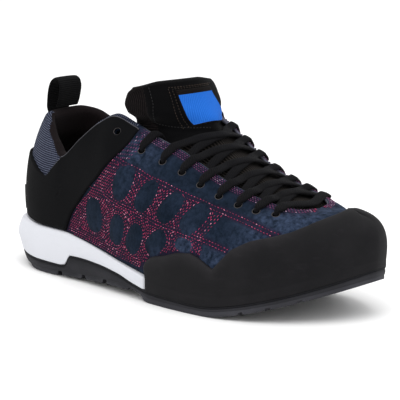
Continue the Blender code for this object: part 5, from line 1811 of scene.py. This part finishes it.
@dataclass
class Lacing:
    """The laces: crossings over the tongue, ends at the top and the bar across the front."""

    last: Last
    tongue: TongueForm
    width: float = 6.2
    thick: float = 2.1
    lean: tuple = (1.0, 0.0, -0.35)
    over: tuple = (
        (0.34, -0.36, 1.3), (0.46, -0.18, 1.3), (0.58, 0.0, 1.3), (0.72, 0.22, 1.3), (0.86, 0.44, 1.0),
        (0.95, 0.66, 0.4),
    )
    tucked: tuple = ((0.6, 1.35), (2.6, 0.7), (4.4, -2.5), (5.0, -7.0), (5.2, -11.0))

    def at(self, s: float, down: float, lift: float) -> Array:
        """Give the point at a lift over the face and a distance below the top line."""
        return self.last.point(np.array([s]), self.last.below_top(s, down), lift)[0]

    def eyestay(self, side: int, hole: int) -> tuple[list, list]:
        """Give a strand's route from inside a hole over the eyestay to its edge, with widths."""
        s, inset = EYELETS[hole]
        lift = 0.2 + self.thick / 2
        rows = ((0.0, inset - 0.5, -5.0, 0.5), (0.0, inset - 0.5, -1.4, 0.5),
                (0.02, inset - 1.7, lift - 0.4, 0.62), (0.06, inset * 0.64, lift, 0.92),
                (0.13, inset * 0.35, lift, 1.0), (0.19, 1.0, lift + 0.1, 1.0))
        route = [self.at(side * (s + ahead), down, height) for ahead, down, height, _ in rows]
        return route, [row[3] for row in rows]

    def strand(self, side: int, hole: int) -> tuple[list, list]:
        """Give a crossing strand's route to the far edge and on under it to the next hole."""
        (s, _), (far_s, far_inset) = EYELETS[hole], EYELETS[hole + 1]
        lift = 0.2 + self.thick / 2
        route, widths = self.eyestay(side, hole)
        edge = self.last.point(np.array([side * (s + 0.24)]), 1.0, lift + 0.6)[0]
        route.append(edge + (0.4, side * 2.0, 0.0))
        widths.append(1.0)
        for share, a, clear in self.over:
            b = self.tongue.beside(s + (far_s - s) * share)
            swing = 0.55 * side * math.exp(-((a / 0.3) ** 2))
            route.append(self.tongue.point(side * a, b, lift + clear + swing))
            widths.append(1.0)
        under = -self.last.thickness(far_s, 0.95) - 1.0
        for down, depth in ((1.0, under), (far_inset * 0.6, under - 0.3), (far_inset, -1.5)):
            route.append(self.at(-side * far_s, down, depth))
            widths.append(0.7)
        return route, widths

    def tuck(self, side: int) -> tuple[list, list]:
        """Give the route of an end that goes over the edge and down inside."""
        route, widths = self.eyestay(side, 1)
        s = EYELETS[1][0] + 0.26
        edge = self.last.point(np.array([side * s]), 1.0, 0.0)[0]
        for inward, rise in self.tucked:
            route.append(edge + (0.3, side * inward, rise))
            widths.append(0.95)
        return route, widths

    def add(self, name: str, route: list, widths: list, nodes: tuple) -> None:
        """Carry the lace's oval along one route, thicker where it is pulled narrow."""
        route, widths = np.array(route), np.array(widths)
        steps = max(40, int(run_length(route)[-1] / 0.9))
        points, chart = tube(route, self.lean, self.width * widths, self.thick * (2 - widths) ** 0.5, steps)
        maker = Maker(name)
        maker.grid(points, chart, wrap_columns=True, caps=True)
        add_piece(name, maker.mesh(), [Finish.LACE], nodes)

    def build(self) -> None:
        """Make every strand, in the order that they are laced."""
        for hole in range(2, len(EYELETS) - 1):
            for side, word in ((1, "outer"), (-1, "inner")):
                nodes = (f"lace_crossing_{hole - 1}",) if side == 1 else ()
                self.add(f"lace_{hole}_{word}", *self.strand(side, hole), nodes)
        for side, word in ((1, "outer"), (-1, "inner")):
            self.add(f"lace_tuck_{word}", *self.tuck(side), (f"lace_end_{word}",))
        near, near_widths = self.eyestay(1, len(EYELETS) - 1)
        far, far_widths = self.eyestay(-1, len(EYELETS) - 1)
        middle = self.tongue.point(0.0, self.tongue.beside(15.0), self.thick / 2 + 1.5)
        widths = [*near_widths, 1.0, *far_widths[::-1]]
        self.add("lace_front_bar", [*near, middle, *far[::-1]], widths, ("lace_bar",))


@dataclass(frozen=True)
class Studio:
    """The camera at the photograph's angle, soft lights and a pale floor."""

    azimuth: float = 41.0
    elevation: float = 11.6
    distance: float = 1100.0
    focal: float = 1750.0
    middle: tuple = (196.0, 209.7)
    frame_size: float = 400.0
    aim: tuple = (140.0, 0.0, 50.0)
    lamps: tuple = (
        ("key", (0.5, -0.5, 1.7), 1.5, 17), ("fill", (-1.4, -1.2, 0.7), 1.2, 3),
        ("back", (0.9, 1.3, 1.0), 1.2, 4),
    )

    def camera(self) -> None:
        """Place the camera."""
        a, e = math.radians(self.azimuth), math.radians(self.elevation)
        back = Vector((math.sin(a) * math.cos(e), -math.cos(a) * math.cos(e), math.sin(e)))
        right = Vector((math.cos(a), math.sin(a), 0.0))
        data = bpy.data.cameras.new("camera")
        camera = put("camera", data)
        place = (Vector(self.aim) + back * self.distance - Vector(ORIGIN)) * MM
        turn = Matrix((right, back.cross(right), back)).transposed()
        camera.matrix_world = Matrix.Translation(place) @ turn.to_4x4()
        data.sensor_width, data.lens = 36.0, 36.0 * self.focal / self.frame_size
        data.shift_x = (self.frame_size / 2 - self.middle[0]) / self.frame_size
        data.shift_y = (self.middle[1] - self.frame_size / 2) / self.frame_size
        data.clip_start = 0.01
        bpy.context.scene.camera = camera

    def light(self, name: str, place: tuple, size: float, power: float) -> None:
        """Add a square area light that shines at the shoe."""
        data = bpy.data.lights.new(name, "AREA")
        data.size, data.energy = size, power
        lamp = put(name, data)
        lamp.location = place
        lamp.rotation_euler = (Vector((0, 0, 0.05)) - Vector(place)).to_track_quat("-Z", "Y").to_euler()

    def build(self) -> None:
        """Make camera, lights, world and floor."""
        self.camera()
        bpy.context.scene.view_settings.view_transform = "Standard"
        for lamp in self.lamps:
            self.light(*lamp)
        world = bpy.data.worlds.new("studio")
        bpy.context.scene.world = world
        world.use_nodes = True
        ground = world.node_tree.nodes["Background"]
        ground.inputs["Color"].default_value = (1.0, 1.0, 1.0, 1.0)
        ground.inputs["Strength"].default_value = 1.0
        mesh = bpy.data.meshes.new("floor")
        mesh.from_pydata([(-6, -6, 0), (6, -6, 0), (6, 6, 0), (-6, 6, 0)], [], [(0, 1, 2, 3)])
        mesh.materials.append(Graph("floor", (0.97, 0.97, 0.97), 0.8).made)
        put("floor", mesh)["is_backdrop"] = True


def main() -> None:
    """Build the shoe's pieces in order, then the studio round them."""
    logging.basicConfig(level=logging.INFO, format="%(name)s: %(message)s")
    last = Last()
    sole = SoleForm()
    tongue_form = TongueForm(last)
    upper = Upper(last)
    upper.build()
    upper.sew()
    upper.rims()
    saddle = Saddle(last)
    saddle.build(upper)
    saddle.plate()
    Rand(last, sole).build()
    ground = Sole(last, sole)
    ground.midsole()
    ground.outsole()
    ground.insole()
    tongue = Tongue(tongue_form)
    tongue.build()
    tongue.label()
    tongue.sew(Stitching(last))
    PullLoop(last).build()
    Lacing(last, tongue_form).build()
    Studio().build()
    new_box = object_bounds()
    for word, box in (("cad", CAD_BOX), ("visual", new_box)):
        LOG.info("%s box %s", word, [[round(v, 4) for v in corner] for corner in box])


if __name__ == "__main__":
    main()
